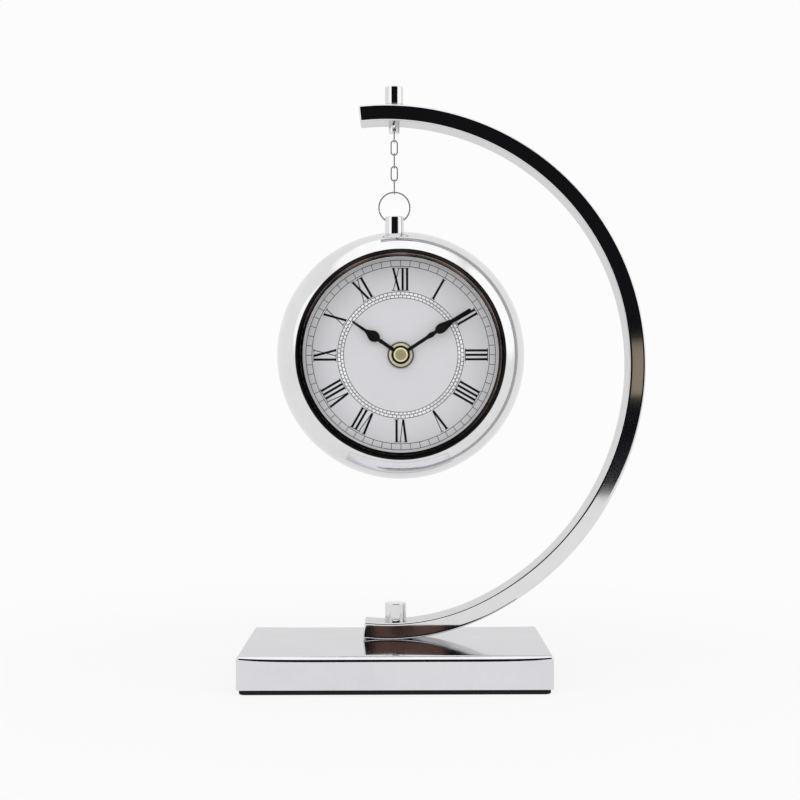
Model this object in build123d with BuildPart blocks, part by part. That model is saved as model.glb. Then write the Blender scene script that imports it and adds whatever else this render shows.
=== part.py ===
import os
from math import acos, asin, cos, degrees, pi, radians, sin, sqrt, tan

from build123d import *

os.makedirs("parts", exist_ok=True)

# A desk clock: a round quartz clock head hangs by a short chain from a C-shaped arch on a heavy base.
# Millimetres. +Z is up, +Y is away from the reader, and the origin is the middle of the pad's underside.

# Base
base_width = 140.0
base_depth = 82.0
base_height = 14.9
sheet = 1.0
base_edge_radius = 0.8
base_corner_radius = 0.9
block_gap = 0.2
pad_thickness = 2.2
pad_inset = 1.0
pad_corner_radius = 3.0

# Arch: a flat bar bent to three tangent arcs, measured on the outer face
bar_thickness = 7.8
bar_depth = 16.6
bar_edge = 0.5
low_radius = 105.0
low_sweep_deg = 26.1
side_radius = 134.3
side_sweep_deg = 57.1
top_radius = 122.4
arch_foot_x = -2.7
low_end_x = -15.3
top_end_x = -16.6
seat_cut = 0.15
seat_skim = 0.05
seat_rim = 0.3

# Line on which everything hangs
hang_x = 0.2
hang_y = 11.5

# Cap nuts, bolt and hanger
low_nut_diameter = 10.2
low_nut_height = 8.8
top_nut_diameter = 8.8
top_nut_height = 10.0
nut_edge = 0.5
nut_groove_up = 1.1
nut_groove_wide = 0.4
nut_groove_deep = 0.3
bolt_diameter = 4.0
bolt_head_diameter = 7.0
bolt_head_height = 2.6
bolt_socket = 3.0
bolt_socket_deep = 1.6
bolt_grip = 6.2
bolt_clearance = 0.2
thread_gap = 0.03
washer_diameter = 9.0
washer_thickness = 0.8
head_sink = 1.6
stud_diameter = 3.0
stud_grip = 6.4
clevis_diameter = 5.3
clevis_height = 4.9
clevis_slot = 1.15
clevis_slot_height = 3.7
clevis_edge = 0.5
pin_diameter = 1.0
pin_up = 2.1
pin_gap = 0.02

# Chain, ring
link_wire = 0.65
wire_sides = 8
link_length = 7.54
link_width = 3.6
link_count = 5
link_gap = 0.07
ring_wire = 0.7
ring_diameter = 15.4
ring_butt_deg = 2.0
ring_butt_at_deg = 168.0

# Crown on top of the case
crown_diameter = 9.2
crown_height = 7.0
crown_hole = 2.8
crown_hole_down = 2.3
crown_edge = 0.5
ring_seat_gap = 0.12
crown_forward = 3.0
crown_left = 2.8
screw_diameter = 3.0
screw_head_diameter = 5.6
screw_head_height = 2.0
screw_grip = 2.0
screw_drive = 1.0
screw_drive_wide = 0.8

# Case, a round ring bulging outward, with a collar inside its front lip
case_radius = 59.2
case_bulge = 18.0
case_wall = 1.0
wall_turn_deg = 26.0
lip_radius = 49.0
collar_wall = 0.8
shoulder_width = 2.6
rear_opening = 42.0
rear_flange_edge = 47.0
fit_gap = 0.08

# Front stack: bezel, glass, spacer and dial
bezel_proud = 0.4
bezel_band = 2.1
bezel_step = 0.6
bezel_depth = 3.9
glass_thickness = 2.0
spacer_height = 5.6
spacer_wall = 2.3
dial_thickness = 0.5
dial_hole = 8.3
bezel_inner_radius = 46.1

# Rear cover
cover_thickness = 1.6
cover_radius = 46.6
cover_window = 58.0
cover_window_radius = 4.0
cover_screw_count = 3
cover_screw_diameter = 2.2
cover_screw_head = 3.8
cover_screw_head_height = 1.5
cover_screw_length = 5.0
cover_screw_ring = 44.6
cover_screw_first_deg = 90.0
cover_edge = 0.5

# Movement: a flat plastic box behind the dial
move_size = 56.0
move_depth = 16.0
move_front_depth = 10.0
move_wall = 1.2
move_corner_radius = 3.0
gasket_thickness = 0.6
bay_width = 16.0
bush_diameter = 7.9
bush_bore = 5.24
bush_past_nut = 0.08
washer_ring = 12.0
brass_washer_thickness = 0.3
mount_nut_diameter = 12.6
mount_nut_edge = 0.8
mount_nut_thickness = 1.6

# Battery: one standard cell, with its button
cell_diameter = 14.2
cell_length = 50.2
button_diameter = 5.5
button_height = 1.2
cell_edge = 0.4
contact_thickness = 0.3
contact_width = 9.0

# Motion work: teeth and modules
pinion_teeth = 12
minute_wheel_teeth = 36
minute_pinion_teeth = 10
hour_wheel_teeth = 40
first_module = 0.4
addendum_share = 0.62
dedendum_share = 1.15
pressure_deg = 20.0
backlash = 0.05
gear_thickness = 1.2
hour_gear_thickness = 1.0
gear_float = 0.3
wheel_bearing_deg = -50.0
run_gap = 0.04
hour_pipe_diameter = 5.1
hour_pipe_bore = 3.2
arbor_diameter = 3.1
arbor_back_diameter = 2.4
pivot_diameter = 1.6
pivot_length = 0.7
hand_seat_diameter = 2.6
knob_diameter = 9.0
knob_height = 2.2
knob_flutes = 16
knob_flute = 0.7

# Stepping motor and circuit
coil_length = 20.0
coil_diameter = 7.4
coil_flange = 9.0
coil_flange_thickness = 0.8
core_width = 3.2
core_length = 31.0
core_thickness = 1.0
stator_width = 8.0
stator_leg = 4.0
coil_x = 10.0
coil_z = 19.0
rotor_z = 9.0
core_level = 6.0
rotor_hole = 6.4
rotor_diameter = 5.4
rotor_height = 2.6
rotor_pin = 1.0
rotor_leaves = 6
rotor_leaf_module = 0.3
board_length = 30.0
board_width = 9.6
board_x = 9.0
board_z = -21.0
board_level = 6.0
post_diameter = 3.0
board_thickness = 0.8
chip_diameter = 6.5
chip_height = 1.2
crystal_diameter = 2.0
crystal_length = 6.2

# Hands
hand_thickness = 0.4
hour_hand_length = 28.0
minute_hand_length = 39.5
hand_hub_diameter = 8.7
hour_lift = 2.2
hand_spacing = 0.6
hand_arm = 1.2
hand_bulge = 2.0
hand_lozenge = 4.3
hand_neck = 1.9
hand_tip = 0.6
hand_nut_diameter = 7.1
hand_nut_cap = 5.6
hand_nut_step = 0.6
hand_nut_height = 0.7
hour_mark_deg = 300.0
bulge_start_share = 0.42
bulge_share = 0.46
bulge_end_share = 0.5
lozenge_share = 0.6
lozenge_end_share = 0.72
shown_minute_deg = 57.0

# Overrun of every cut past the face that it leaves
overrun = 1.0


# Places worked out from the sizes above
base_top = pad_thickness + base_height
block_top = base_top - sheet
turn_low = radians(low_sweep_deg)
turn_side = turn_low + radians(side_sweep_deg)
arch_top_x = arch_foot_x + low_radius * sin(turn_low) + side_radius * (sin(turn_side) - sin(turn_low))
arch_top_x = arch_top_x - top_radius * sin(turn_side)
arch_foot = base_top - seat_cut
arch_rise = low_radius * (1 - cos(turn_low)) + side_radius * (cos(turn_low) - cos(turn_side))
arch_top = arch_foot + arch_rise + top_radius * (1 + cos(turn_side))
low_seat = arch_foot + bar_thickness - seat_skim
top_reach = hang_x + top_nut_diameter / 2 + seat_rim - arch_top_x
top_seat = arch_top - top_radius + sqrt(top_radius**2 - top_reach**2)
clevis_top = arch_top - bar_thickness + seat_skim
clevis_bottom = clevis_top - clevis_height
pin_z = clevis_bottom + pin_up

link_line = link_length - link_wire
link_pitch = link_line - link_wire - link_gap
link_tops = [pin_z + (pin_diameter + link_wire) / 2 + link_gap - n * link_pitch for n in range(link_count)]
ring_radius = (ring_diameter - ring_wire) / 2
ring_top = link_tops[-1] - link_line + (link_wire + ring_wire) / 2 + link_gap
ring_z = ring_top - ring_radius
ring_bottom = ring_z - ring_radius
ring_rise = ring_radius - sqrt(ring_radius**2 - (crown_diameter / 2) ** 2)
crown_hole_z = ring_bottom + ring_rise + ring_wire / 2 + ring_seat_gap - crown_hole / 2
crown_top = crown_hole_z + crown_hole_down

tube_radius = case_radius - case_bulge
case_x = hang_x + crown_left
case_y = hang_y + crown_forward
crown_seat_out = tube_radius + sqrt(case_bulge**2 - crown_forward**2)
case_z = crown_top - crown_height - sqrt(crown_seat_out**2 - crown_left**2)

# Depths of the head's layers along Y, from the reader to the back
lip_y = case_y - sqrt(case_bulge**2 - (lip_radius - tube_radius) ** 2)
glass_y = lip_y + bezel_depth
spacer_y = glass_y + glass_thickness
dial_y = spacer_y + spacer_height
shoulder_y = dial_y + dial_thickness
move_y = shoulder_y + gasket_thickness
move_back = move_y + move_depth
flange_y = case_y + sqrt(case_bulge**2 - (rear_flange_edge - tube_radius) ** 2)
cover_y = flange_y + cover_thickness
brass_washer_y = dial_y - brass_washer_thickness
mount_nut_y = brass_washer_y - mount_nut_thickness
hour_hand_y = dial_y - hour_lift
minute_hand_y = hour_hand_y - hand_thickness - hand_spacing
minute_front = minute_hand_y - hand_thickness
hand_nut_y = minute_front - hand_nut_step - hand_nut_height

# Sections and axes shared by the pieces
post_section = Plane(origin=(hang_x, hang_y, 0), x_dir=(1, 0, 0), z_dir=(0, -1, 0))
post_axis = Axis((hang_x, hang_y, 0), (0, 0, 1))
head_section = Plane(origin=(case_x, 0, case_z))
head_axis = Axis((case_x, 0, case_z), (0, 1, 0))


def facing(y, x=0.0, z=0.0):
    """The plane at depth y that faces the reader, centred on the hands' axis or x, z from it."""
    return Plane(origin=(case_x + x, y, case_z + z), x_dir=(1, 0, 0), z_dir=(0, -1, 0))


def hand_plane(y, clockwise_deg):
    """The plane at depth y that faces the reader, its own up turned clockwise from twelve."""
    turn = radians(clockwise_deg)
    return Plane(origin=(case_x, y, case_z), x_dir=(cos(turn), 0, -sin(turn)), z_dir=(0, -1, 0))


def level(z):
    """The horizontal plane at height z, centred on the hanging line."""
    return Plane(origin=(hang_x, hang_y, z))


def save(builder, name):
    builder.part.label = name
    export_step(builder.part, f"parts/{name}.step")


# Base shell: a pressed cover open at the bottom
with BuildPart() as base_shell:
    with BuildSketch(Plane.XY.offset(pad_thickness)):
        RectangleRounded(base_width, base_depth, base_corner_radius)
    extrude(amount=base_height)
    fillet(base_shell.faces().sort_by(Axis.Z)[-1].edges(), radius=base_edge_radius)
    with BuildSketch(Plane.XY.offset(pad_thickness)):
        Rectangle(base_width - 2 * sheet, base_depth - 2 * sheet)
    extrude(amount=base_height - sheet, mode=Mode.SUBTRACT)
    with BuildSketch(level(block_top)):
        Circle(bolt_diameter / 2 + bolt_clearance)
    extrude(amount=sheet + overrun, mode=Mode.SUBTRACT)
save(base_shell, "base_shell")

# Base block: the filler board that takes the bolt
bolt_head_z = pad_thickness + head_sink
washer_z = bolt_head_z + bolt_head_height
with BuildPart() as base_block:
    with BuildSketch(Plane.XY.offset(pad_thickness)):
        Rectangle(base_width - 2 * (sheet + block_gap), base_depth - 2 * (sheet + block_gap))
    extrude(amount=block_top - pad_thickness)
    with BuildSketch(level(pad_thickness)):
        Circle(washer_diameter / 2 + 2 * bolt_clearance)
    extrude(amount=washer_z + washer_thickness - pad_thickness, mode=Mode.SUBTRACT)
    with BuildSketch(level(pad_thickness)):
        Circle(bolt_diameter / 2 + bolt_clearance)
    extrude(amount=base_height, mode=Mode.SUBTRACT)
save(base_block, "base_block")

with BuildPart() as base_pad:
    with BuildSketch():
        RectangleRounded(base_width - 2 * pad_inset, base_depth - 2 * pad_inset, pad_corner_radius)
    extrude(amount=pad_thickness)
save(base_pad, "base_pad")

with BuildPart() as base_washer:
    with BuildSketch(level(washer_z)):
        Circle(washer_diameter / 2)
        Circle(bolt_diameter / 2 + bolt_clearance, mode=Mode.SUBTRACT)
    extrude(amount=washer_thickness)
save(base_washer, "base_washer")

# Socket-head bolt up through block, shell and arch into the low cap nut
with BuildPart() as base_bolt:
    with BuildSketch(level(bolt_head_z)):
        Circle(bolt_head_diameter / 2)
    extrude(amount=bolt_head_height)
    with BuildSketch(level(washer_z)):
        Circle(bolt_diameter / 2)
    extrude(amount=low_seat + bolt_grip - washer_z)
    with BuildSketch(level(bolt_head_z)):
        RegularPolygon(radius=bolt_socket / 2, side_count=6, major_radius=False)
    extrude(amount=bolt_socket_deep, mode=Mode.SUBTRACT)
save(base_bolt, "base_bolt")

# Arch: a flat bar bent to three tangent arcs, with broken edges and flats milled where it seats
low_lead = asin((arch_foot_x - low_end_x) / low_radius)
top_lead = asin((arch_top_x - top_end_x) / top_radius)
top_sweep_deg = 180 - low_sweep_deg - side_sweep_deg
arch_plane = Plane(origin=(0, hang_y, 0), x_dir=(1, 0, 0), z_dir=(0, -1, 0))


def bar_face(inward):
    """The three tangent arcs of one face of the bar, drawn inward of its outer face, from foot to top."""
    low, side, top = low_radius - inward, side_radius - inward, top_radius - inward
    start = arch_foot_x - low * sin(low_lead), arch_foot + low_radius - low * cos(low_lead)
    low_arc = JernArc(start, (cos(low_lead), -sin(low_lead)), low, degrees(low_lead) + low_sweep_deg)
    side_arc = JernArc(low_arc @ 1, low_arc % 1, side, side_sweep_deg)
    top_arc = JernArc(side_arc @ 1, side_arc % 1, top, top_sweep_deg + degrees(top_lead))
    return low_arc @ 0, top_arc @ 1


with BuildPart() as arch_bar:
    with BuildSketch(arch_plane):
        with BuildLine():
            outer_foot, outer_top = bar_face(0)
            inner_foot, inner_top = bar_face(bar_thickness)
            Line(outer_foot, inner_foot)
            Line(outer_top, inner_top)
        make_face()
    extrude(amount=bar_depth / 2, both=True)
    chamfer(arch_bar.edges().filter_by(Axis.Y, reverse=True), length=bar_edge)
    with BuildSketch(Plane.XY.offset(base_top)):
        Rectangle(base_width, base_depth)
    extrude(amount=-overrun, mode=Mode.SUBTRACT)
    with BuildSketch(level(low_seat)):
        Circle(low_nut_diameter / 2 + seat_rim)
    extrude(amount=bar_thickness, mode=Mode.SUBTRACT)
    with BuildSketch(level(top_seat)):
        Circle(top_nut_diameter / 2 + seat_rim)
    extrude(amount=bar_thickness, mode=Mode.SUBTRACT)
    with BuildSketch(level(clevis_top)):
        Circle(clevis_diameter / 2 + seat_rim)
    extrude(amount=-bar_thickness, mode=Mode.SUBTRACT)
    with BuildSketch(level(base_top)):
        Circle(bolt_diameter / 2 + bolt_clearance)
    extrude(amount=2 * bar_thickness, mode=Mode.SUBTRACT)
    with BuildSketch(level(clevis_top)):
        Circle(stud_diameter / 2 + bolt_clearance)
    extrude(amount=2 * bar_thickness, mode=Mode.SUBTRACT)
save(arch_bar, "arch_bar")


def cap_nut(seat, diameter, height, bore, grip):
    """A plain cylindrical nut, blind from below, with a bevelled top and a fine groove near its foot."""
    radius = diameter / 2
    groove = seat + nut_groove_up
    with BuildPart() as nut:
        with BuildSketch(post_section):
            with BuildLine():
                Polyline(
                    (0, seat + grip),
                    (bore / 2 + thread_gap, seat + grip),
                    (bore / 2 + thread_gap, seat),
                    (radius, seat),
                    (radius, groove),
                    (radius - nut_groove_deep, groove),
                    (radius - nut_groove_deep, groove + nut_groove_wide),
                    (radius, groove + nut_groove_wide),
                    (radius, seat + height - nut_edge),
                    (radius - nut_edge, seat + height),
                    (0, seat + height),
                    close=True,
                )
            make_face()
        revolve(axis=post_axis)
    return nut


low_cap_nut = cap_nut(low_seat, low_nut_diameter, low_nut_height, bolt_diameter, bolt_grip)
save(low_cap_nut, "low_cap_nut")
top_cap_nut = cap_nut(top_seat, top_nut_diameter, top_nut_height, stud_diameter, stud_grip)
save(top_cap_nut, "top_cap_nut")

# Hanger: a slotted stud screwed up into the top cap nut, with a cross pin for the chain
with BuildPart() as hanger_clevis:
    with BuildSketch(level(clevis_bottom)):
        Circle(clevis_diameter / 2)
    extrude(amount=clevis_height)
    chamfer(hanger_clevis.faces().sort_by(Axis.Z)[0].edges(), length=clevis_edge)
    with BuildSketch(level(clevis_top)):
        Circle(stud_diameter / 2)
    extrude(amount=top_seat + stud_grip - nut_edge - clevis_top)
    with BuildSketch(level(clevis_bottom)):
        Rectangle(clevis_slot, clevis_diameter + overrun)
    extrude(amount=clevis_slot_height, mode=Mode.SUBTRACT)
    with BuildSketch(Plane(origin=(hang_x, hang_y, pin_z), z_dir=(1, 0, 0))):
        Circle(pin_diameter / 2 + pin_gap)
    extrude(amount=clevis_diameter, both=True, mode=Mode.SUBTRACT)
save(hanger_clevis, "hanger_clevis")

with BuildPart() as hanger_pin:
    with BuildSketch(Plane(origin=(hang_x, hang_y, pin_z), z_dir=(1, 0, 0))):
        Circle(pin_diameter / 2)
    extrude(amount=clevis_diameter / 2 - clevis_edge / 4, both=True)
save(hanger_pin, "hanger_pin")


def chain_link(top, across):
    """A stadium-shaped link of wire, its top wire centred at height top and its width along across."""
    bend = (link_width - link_wire) / 2
    bend_top, bend_low = top - bend, top - link_line + bend
    normal = Vector(across.Y, -across.X, 0)
    middle = Vector(hang_x, hang_y, 0)
    sides = [middle + across * (side * bend) + Vector(0, 0, bend_low) for side in (-1, 1)]
    with BuildPart() as link:
        with BuildSketch(*[Plane(origin=place, x_dir=across, z_dir=(0, 0, 1)) for place in sides]):
            RegularPolygon(radius=link_wire / 2, side_count=wire_sides)
        extrude(amount=bend_top - bend_low)
        for height, turn in ((bend_low, -180), (bend_top, 180)):
            centre = middle + Vector(0, 0, height)
            with BuildSketch(Plane(origin=centre + across * bend, x_dir=across, z_dir=(0, 0, 1))):
                RegularPolygon(radius=link_wire / 2, side_count=wire_sides)
            revolve(axis=Axis(centre, normal), revolution_arc=turn)
    return link


# Links hang in turn in the plane seen edge-on and in the plane that faces the reader
for n, top in enumerate(link_tops):
    save(chain_link(top, Vector(1, 0, 0) if n % 2 else Vector(0, 1, 0)), f"link_{n + 1}")

# Hanging ring of round wire with its butted ends
with BuildPart() as hanging_ring:
    with BuildSketch(Plane(origin=(hang_x, hang_y, ring_z)).rotated((0, ring_butt_at_deg, 0))):
        with Locations((ring_radius, 0)):
            RegularPolygon(radius=ring_wire / 2, side_count=wire_sides)
    revolve(axis=Axis((hang_x, hang_y, ring_z), (0, 1, 0)), revolution_arc=360 - ring_butt_deg)
save(hanging_ring, "hanging_ring")

# Case: a bulging cast ring, flat inside, its front lip turned in to a collar with a shoulder for the dial
wall_half = (case_bulge - case_wall) * sin(radians(wall_turn_deg))
wall_radius = tube_radius + (case_bulge - case_wall) * cos(radians(wall_turn_deg))
with BuildPart() as case_shell:
    with BuildSketch(head_section):
        bulge_front = case_y - sqrt((case_bulge - case_wall) ** 2 - (lip_radius + collar_wall - tube_radius) ** 2)
        flange_in = flange_y - case_wall
        bulge_rear = tube_radius + sqrt((case_bulge - case_wall) ** 2 - (flange_in - case_y) ** 2)
        with BuildLine():
            ThreePointArc((rear_flange_edge, flange_y), (case_radius, case_y), (lip_radius, lip_y))
            Polyline(
                (lip_radius, lip_y),
                (lip_radius, shoulder_y),
                (lip_radius - shoulder_width, shoulder_y),
                (lip_radius - shoulder_width, shoulder_y + collar_wall),
                (lip_radius + collar_wall, shoulder_y + collar_wall),
                (lip_radius + collar_wall, bulge_front),
                (wall_radius, case_y - wall_half),
                (wall_radius, case_y + wall_half),
                (bulge_rear, flange_in),
                (rear_opening, flange_in),
                (rear_opening, flange_y),
                (rear_flange_edge, flange_y),
            )
        make_face()
    revolve(axis=head_axis)
    with BuildSketch(level(case_z)):
        Circle(screw_diameter / 2 + bolt_clearance)
    extrude(amount=case_radius + overrun, mode=Mode.SUBTRACT)
    with BuildSketch(facing(flange_y)):
        with PolarLocations(cover_screw_ring, cover_screw_count, cover_screw_first_deg):
            Circle(cover_screw_diameter / 2 + thread_gap)
    extrude(amount=case_wall + overrun, both=True, mode=Mode.SUBTRACT)
save(case_shell, "case_shell")

# Crown: a post cut to a saddle on the case, cross-drilled for the ring
screw_top = case_z + sqrt(crown_seat_out**2 - crown_left**2) + screw_grip
with BuildPart() as crown:
    with BuildSketch(level(case_z + tube_radius)):
        Circle(crown_diameter / 2)
    extrude(amount=crown_top - case_z - tube_radius)
    chamfer(crown.faces().sort_by(Axis.Z)[-1].edges(), length=crown_edge)
    with BuildSketch(head_section):
        with Locations((tube_radius, case_y)):
            Circle(case_bulge)
    revolve(axis=head_axis, mode=Mode.SUBTRACT)
    with BuildSketch(Plane(origin=(hang_x, hang_y, crown_hole_z), z_dir=(1, 0, 0))):
        Circle(crown_hole / 2)
    extrude(amount=crown_diameter, both=True, mode=Mode.SUBTRACT)
    with BuildSketch(level(case_z + tube_radius)):
        Circle(screw_diameter / 2 + thread_gap)
    extrude(amount=screw_top - case_z - tube_radius + thread_gap, mode=Mode.SUBTRACT)
save(crown, "crown")

# Crown screw from inside the case, its head against the curved wall
screw_seat = case_z + sqrt(wall_radius**2 - (crown_left + screw_head_diameter / 2) ** 2)
with BuildPart() as crown_screw:
    with BuildSketch(level(screw_seat)):
        Circle(screw_head_diameter / 2)
    extrude(amount=-screw_head_height)
    with BuildSketch(level(screw_seat)):
        Circle(screw_diameter / 2)
    extrude(amount=screw_top - screw_seat)
    with BuildSketch(level(screw_seat - screw_head_height)):
        Rectangle(screw_drive_wide, screw_head_diameter + overrun)
    extrude(amount=screw_drive, mode=Mode.SUBTRACT)
save(crown_screw, "crown_screw")

# Bezel: a stepped dark ring pressed into the lip, in front of the glass
ring_out = lip_radius - fit_gap
with BuildPart() as bezel_ring:
    with BuildSketch(head_section):
        with BuildLine():
            Polyline(
                (bezel_inner_radius, glass_y),
                (ring_out, glass_y),
                (ring_out, lip_y),
                (ring_out - bezel_proud, lip_y - bezel_proud),
                (ring_out - bezel_band, glass_y - bezel_step),
                (bezel_inner_radius, glass_y - bezel_step),
                close=True,
            )
        make_face()
    revolve(axis=head_axis)
save(bezel_ring, "bezel_ring")

with BuildPart() as glass_lens:
    with BuildSketch(facing(glass_y)):
        Circle(ring_out)
    extrude(amount=-glass_thickness)
save(glass_lens, "glass_lens")

with BuildPart() as dial_spacer:
    with BuildSketch(facing(spacer_y)):
        Circle(ring_out)
        Circle(ring_out - spacer_wall, mode=Mode.SUBTRACT)
    extrude(amount=-spacer_height)
save(dial_spacer, "dial_spacer")

with BuildPart() as dial_plate:
    with BuildSketch(facing(dial_y)):
        Circle(ring_out)
        Circle(dial_hole / 2, mode=Mode.SUBTRACT)
    extrude(amount=-dial_thickness)
save(dial_plate, "dial_plate")

# Rear cover: a ring on the rear flange with a window for the movement
with BuildPart() as rear_cover:
    with BuildSketch(facing(cover_y)):
        Circle(cover_radius)
        RectangleRounded(cover_window, cover_window, cover_window_radius, mode=Mode.SUBTRACT)
        with PolarLocations(cover_screw_ring, cover_screw_count, cover_screw_first_deg):
            Circle(cover_screw_diameter / 2 + bolt_clearance, mode=Mode.SUBTRACT)
    extrude(amount=cover_thickness)
    chamfer(rear_cover.faces().sort_by(Axis.Y)[-1].edges().sort_by(SortBy.LENGTH)[-1], length=cover_edge)
save(rear_cover, "rear_cover")

with BuildPart() as rear_cover_screws:
    with BuildSketch(facing(cover_y)):
        with PolarLocations(cover_screw_ring, cover_screw_count, cover_screw_first_deg):
            Circle(cover_screw_head / 2)
    extrude(amount=-cover_screw_head_height)
    with BuildSketch(facing(cover_y)):
        with PolarLocations(cover_screw_ring, cover_screw_count, cover_screw_first_deg):
            Circle(cover_screw_diameter / 2)
    extrude(amount=cover_screw_length)
    with BuildSketch(facing(cover_y + cover_screw_head_height)):
        with PolarLocations(cover_screw_ring, cover_screw_count, cover_screw_first_deg):
            Rectangle(screw_drive_wide, cover_screw_head + overrun)
    extrude(amount=cover_screw_head_height / 2, mode=Mode.SUBTRACT)
save(rear_cover_screws, "rear_cover_screws")

# Movement: local places run right (x) and up (z) from the hands' axis, levels run back from its front
half = move_size / 2
room = half - move_wall
bay_x = -room + bay_width / 2
chamber_left = -room + bay_width + move_wall
chamber_x = (chamber_left + room) / 2
chamber_width = room - chamber_left
plate_back = move_y + move_wall
split_y = move_y + move_front_depth
cover_in = move_back - move_wall
wheel_distance = first_module * (pinion_teeth + minute_wheel_teeth) / 2
second_module = 2 * wheel_distance / (minute_pinion_teeth + hour_wheel_teeth)
wheel_x = wheel_distance * cos(radians(wheel_bearing_deg))
wheel_z = wheel_distance * sin(radians(wheel_bearing_deg))
core_y = move_y + core_level
board_y = move_y + board_level
core_post_x = (core_length - stator_leg) / 2
board_post_x = (board_length - stator_leg) / 2
rotor_x = coil_x
hour_gear_y = plate_back + gear_float
minute_gear_y = hour_gear_y + hour_gear_thickness + gear_float
minute_gear_back = minute_gear_y + gear_thickness

# Front half: walls, front plate, posts for the coil core and the board, and blind bearings
with BuildPart() as movement_housing:
    with BuildSketch(facing(move_y)):
        RectangleRounded(move_size, move_size, move_corner_radius)
    extrude(amount=-move_front_depth)
    with BuildSketch(facing(plate_back)):
        with Locations((bay_x, 0)):
            Rectangle(bay_width, 2 * room)
        with Locations((chamber_x, 0)):
            Rectangle(chamber_width, 2 * room)
    extrude(amount=-move_front_depth, mode=Mode.SUBTRACT)
    with BuildSketch(facing(plate_back)):
        with Locations((coil_x - core_post_x, coil_z), (coil_x + core_post_x, coil_z)):
            Circle(post_diameter / 2)
    extrude(amount=-(core_y - plate_back))
    with BuildSketch(facing(plate_back)):
        with Locations((board_x - board_post_x, board_z), (board_x + board_post_x, board_z)):
            Circle(post_diameter / 2)
    extrude(amount=-(board_y - plate_back))
    with BuildSketch(facing(move_y)):
        Circle(bush_diameter / 2 + thread_gap)
    extrude(amount=-2 * move_wall, mode=Mode.SUBTRACT)
    with BuildSketch(facing(plate_back)):
        with Locations((wheel_x, wheel_z), (rotor_x, rotor_z)):
            Circle(pivot_diameter / 2 + run_gap)
    extrude(amount=pivot_length + run_gap, mode=Mode.SUBTRACT)
save(movement_housing, "movement_housing")

# Rear half: walls and back plate, open at the battery bay, with the knob's bearing
with BuildPart() as movement_cover:
    with BuildSketch(facing(split_y)):
        RectangleRounded(move_size, move_size, move_corner_radius)
    extrude(amount=-(move_back - split_y))
    with BuildSketch(facing(split_y)):
        with Locations((chamber_x, 0)):
            Rectangle(chamber_width, 2 * room)
    extrude(amount=-(cover_in - split_y), mode=Mode.SUBTRACT)
    with BuildSketch(facing(split_y)):
        with Locations((bay_x, 0)):
            Rectangle(bay_width, 2 * room)
    extrude(amount=-move_depth, mode=Mode.SUBTRACT)
    with BuildSketch(facing(cover_in)):
        with Locations((wheel_x, wheel_z)):
            Circle(arbor_back_diameter / 2 + run_gap)
    extrude(amount=-2 * move_wall, mode=Mode.SUBTRACT)
    with BuildSketch(facing(cover_in)):
        with Locations((0, 0), (rotor_x, rotor_z)):
            Circle(pivot_diameter / 2 + run_gap)
    extrude(amount=-(pivot_length + run_gap), mode=Mode.SUBTRACT)
save(movement_cover, "movement_cover")

# Threaded brass bush through gasket, dial, washer and nut, with the hour pipe turning in it
with BuildPart() as mounting_bush:
    with BuildSketch(facing(plate_back)):
        Circle(bush_diameter / 2)
        Circle(bush_bore / 2, mode=Mode.SUBTRACT)
    extrude(amount=plate_back - mount_nut_y + bush_past_nut)
save(mounting_bush, "mounting_bush")

with BuildPart() as movement_gasket:
    with BuildSketch(facing(shoulder_y)):
        Circle(washer_ring / 2)
        Circle(bush_diameter / 2 + thread_gap, mode=Mode.SUBTRACT)
    extrude(amount=-gasket_thickness)
save(movement_gasket, "movement_gasket")

with BuildPart() as dial_washer:
    with BuildSketch(facing(dial_y)):
        Circle(washer_ring / 2)
        Circle(bush_diameter / 2 + thread_gap, mode=Mode.SUBTRACT)
    extrude(amount=brass_washer_thickness)
save(dial_washer, "dial_washer")

with BuildPart() as dial_nut:
    with BuildSketch(facing(brass_washer_y)):
        Circle(mount_nut_diameter / 2)
    extrude(amount=mount_nut_thickness)
    chamfer(dial_nut.faces().sort_by(Axis.Y)[0].edges(), length=mount_nut_edge)
    with BuildSketch(facing(brass_washer_y)):
        Circle(bush_diameter / 2 + thread_gap)
    extrude(amount=mount_nut_thickness, mode=Mode.SUBTRACT)
save(dial_nut, "dial_nut")

# Battery standing in its bay between a flat contact above and a sprung leaf below
cell_y = plate_back + cell_diameter / 2 + block_gap
cell_top = room - contact_thickness
cell_plane = Plane(origin=(case_x + bay_x, cell_y, case_z + cell_top), z_dir=(0, 0, -1))
with BuildPart() as battery:
    with BuildSketch(cell_plane):
        Circle(button_diameter / 2)
    extrude(amount=button_height)
    with BuildSketch(cell_plane.offset(button_height)):
        Circle(cell_diameter / 2)
    extrude(amount=cell_length - button_height)
    chamfer(battery.edges().filter_by(GeomType.CIRCLE).sort_by(Axis.Z)[0], length=cell_edge)
save(battery, "battery")

with BuildPart() as contact_plus:
    with BuildSketch(cell_plane):
        Rectangle(contact_width, contact_width)
    extrude(amount=-contact_thickness)
save(contact_plus, "contact_plus")

leaf_rise = cell_top - cell_length + room - contact_thickness
leaf_half = contact_width / 2
with BuildPart() as contact_minus:
    with BuildSketch(Plane(origin=(case_x + bay_x, cell_y, case_z - room), x_dir=(0, 1, 0), z_dir=(1, 0, 0))):
        with BuildLine():
            Polyline(
                (-leaf_half, 0),
                (leaf_half, 0),
                (leaf_half, contact_thickness),
                (contact_thickness, leaf_rise + contact_thickness),
                (-contact_thickness, leaf_rise + contact_thickness),
                (-leaf_half, 2 * contact_thickness),
                close=True,
            )
        make_face()
        with BuildLine():
            Polyline(
                (-leaf_half + 2 * contact_thickness, contact_thickness),
                (leaf_half - 3 * contact_thickness, contact_thickness),
                (0, leaf_rise),
                close=True,
            )
        make_face(mode=Mode.SUBTRACT)
    extrude(amount=leaf_half / 2, both=True)
save(contact_minus, "contact_minus")

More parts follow.
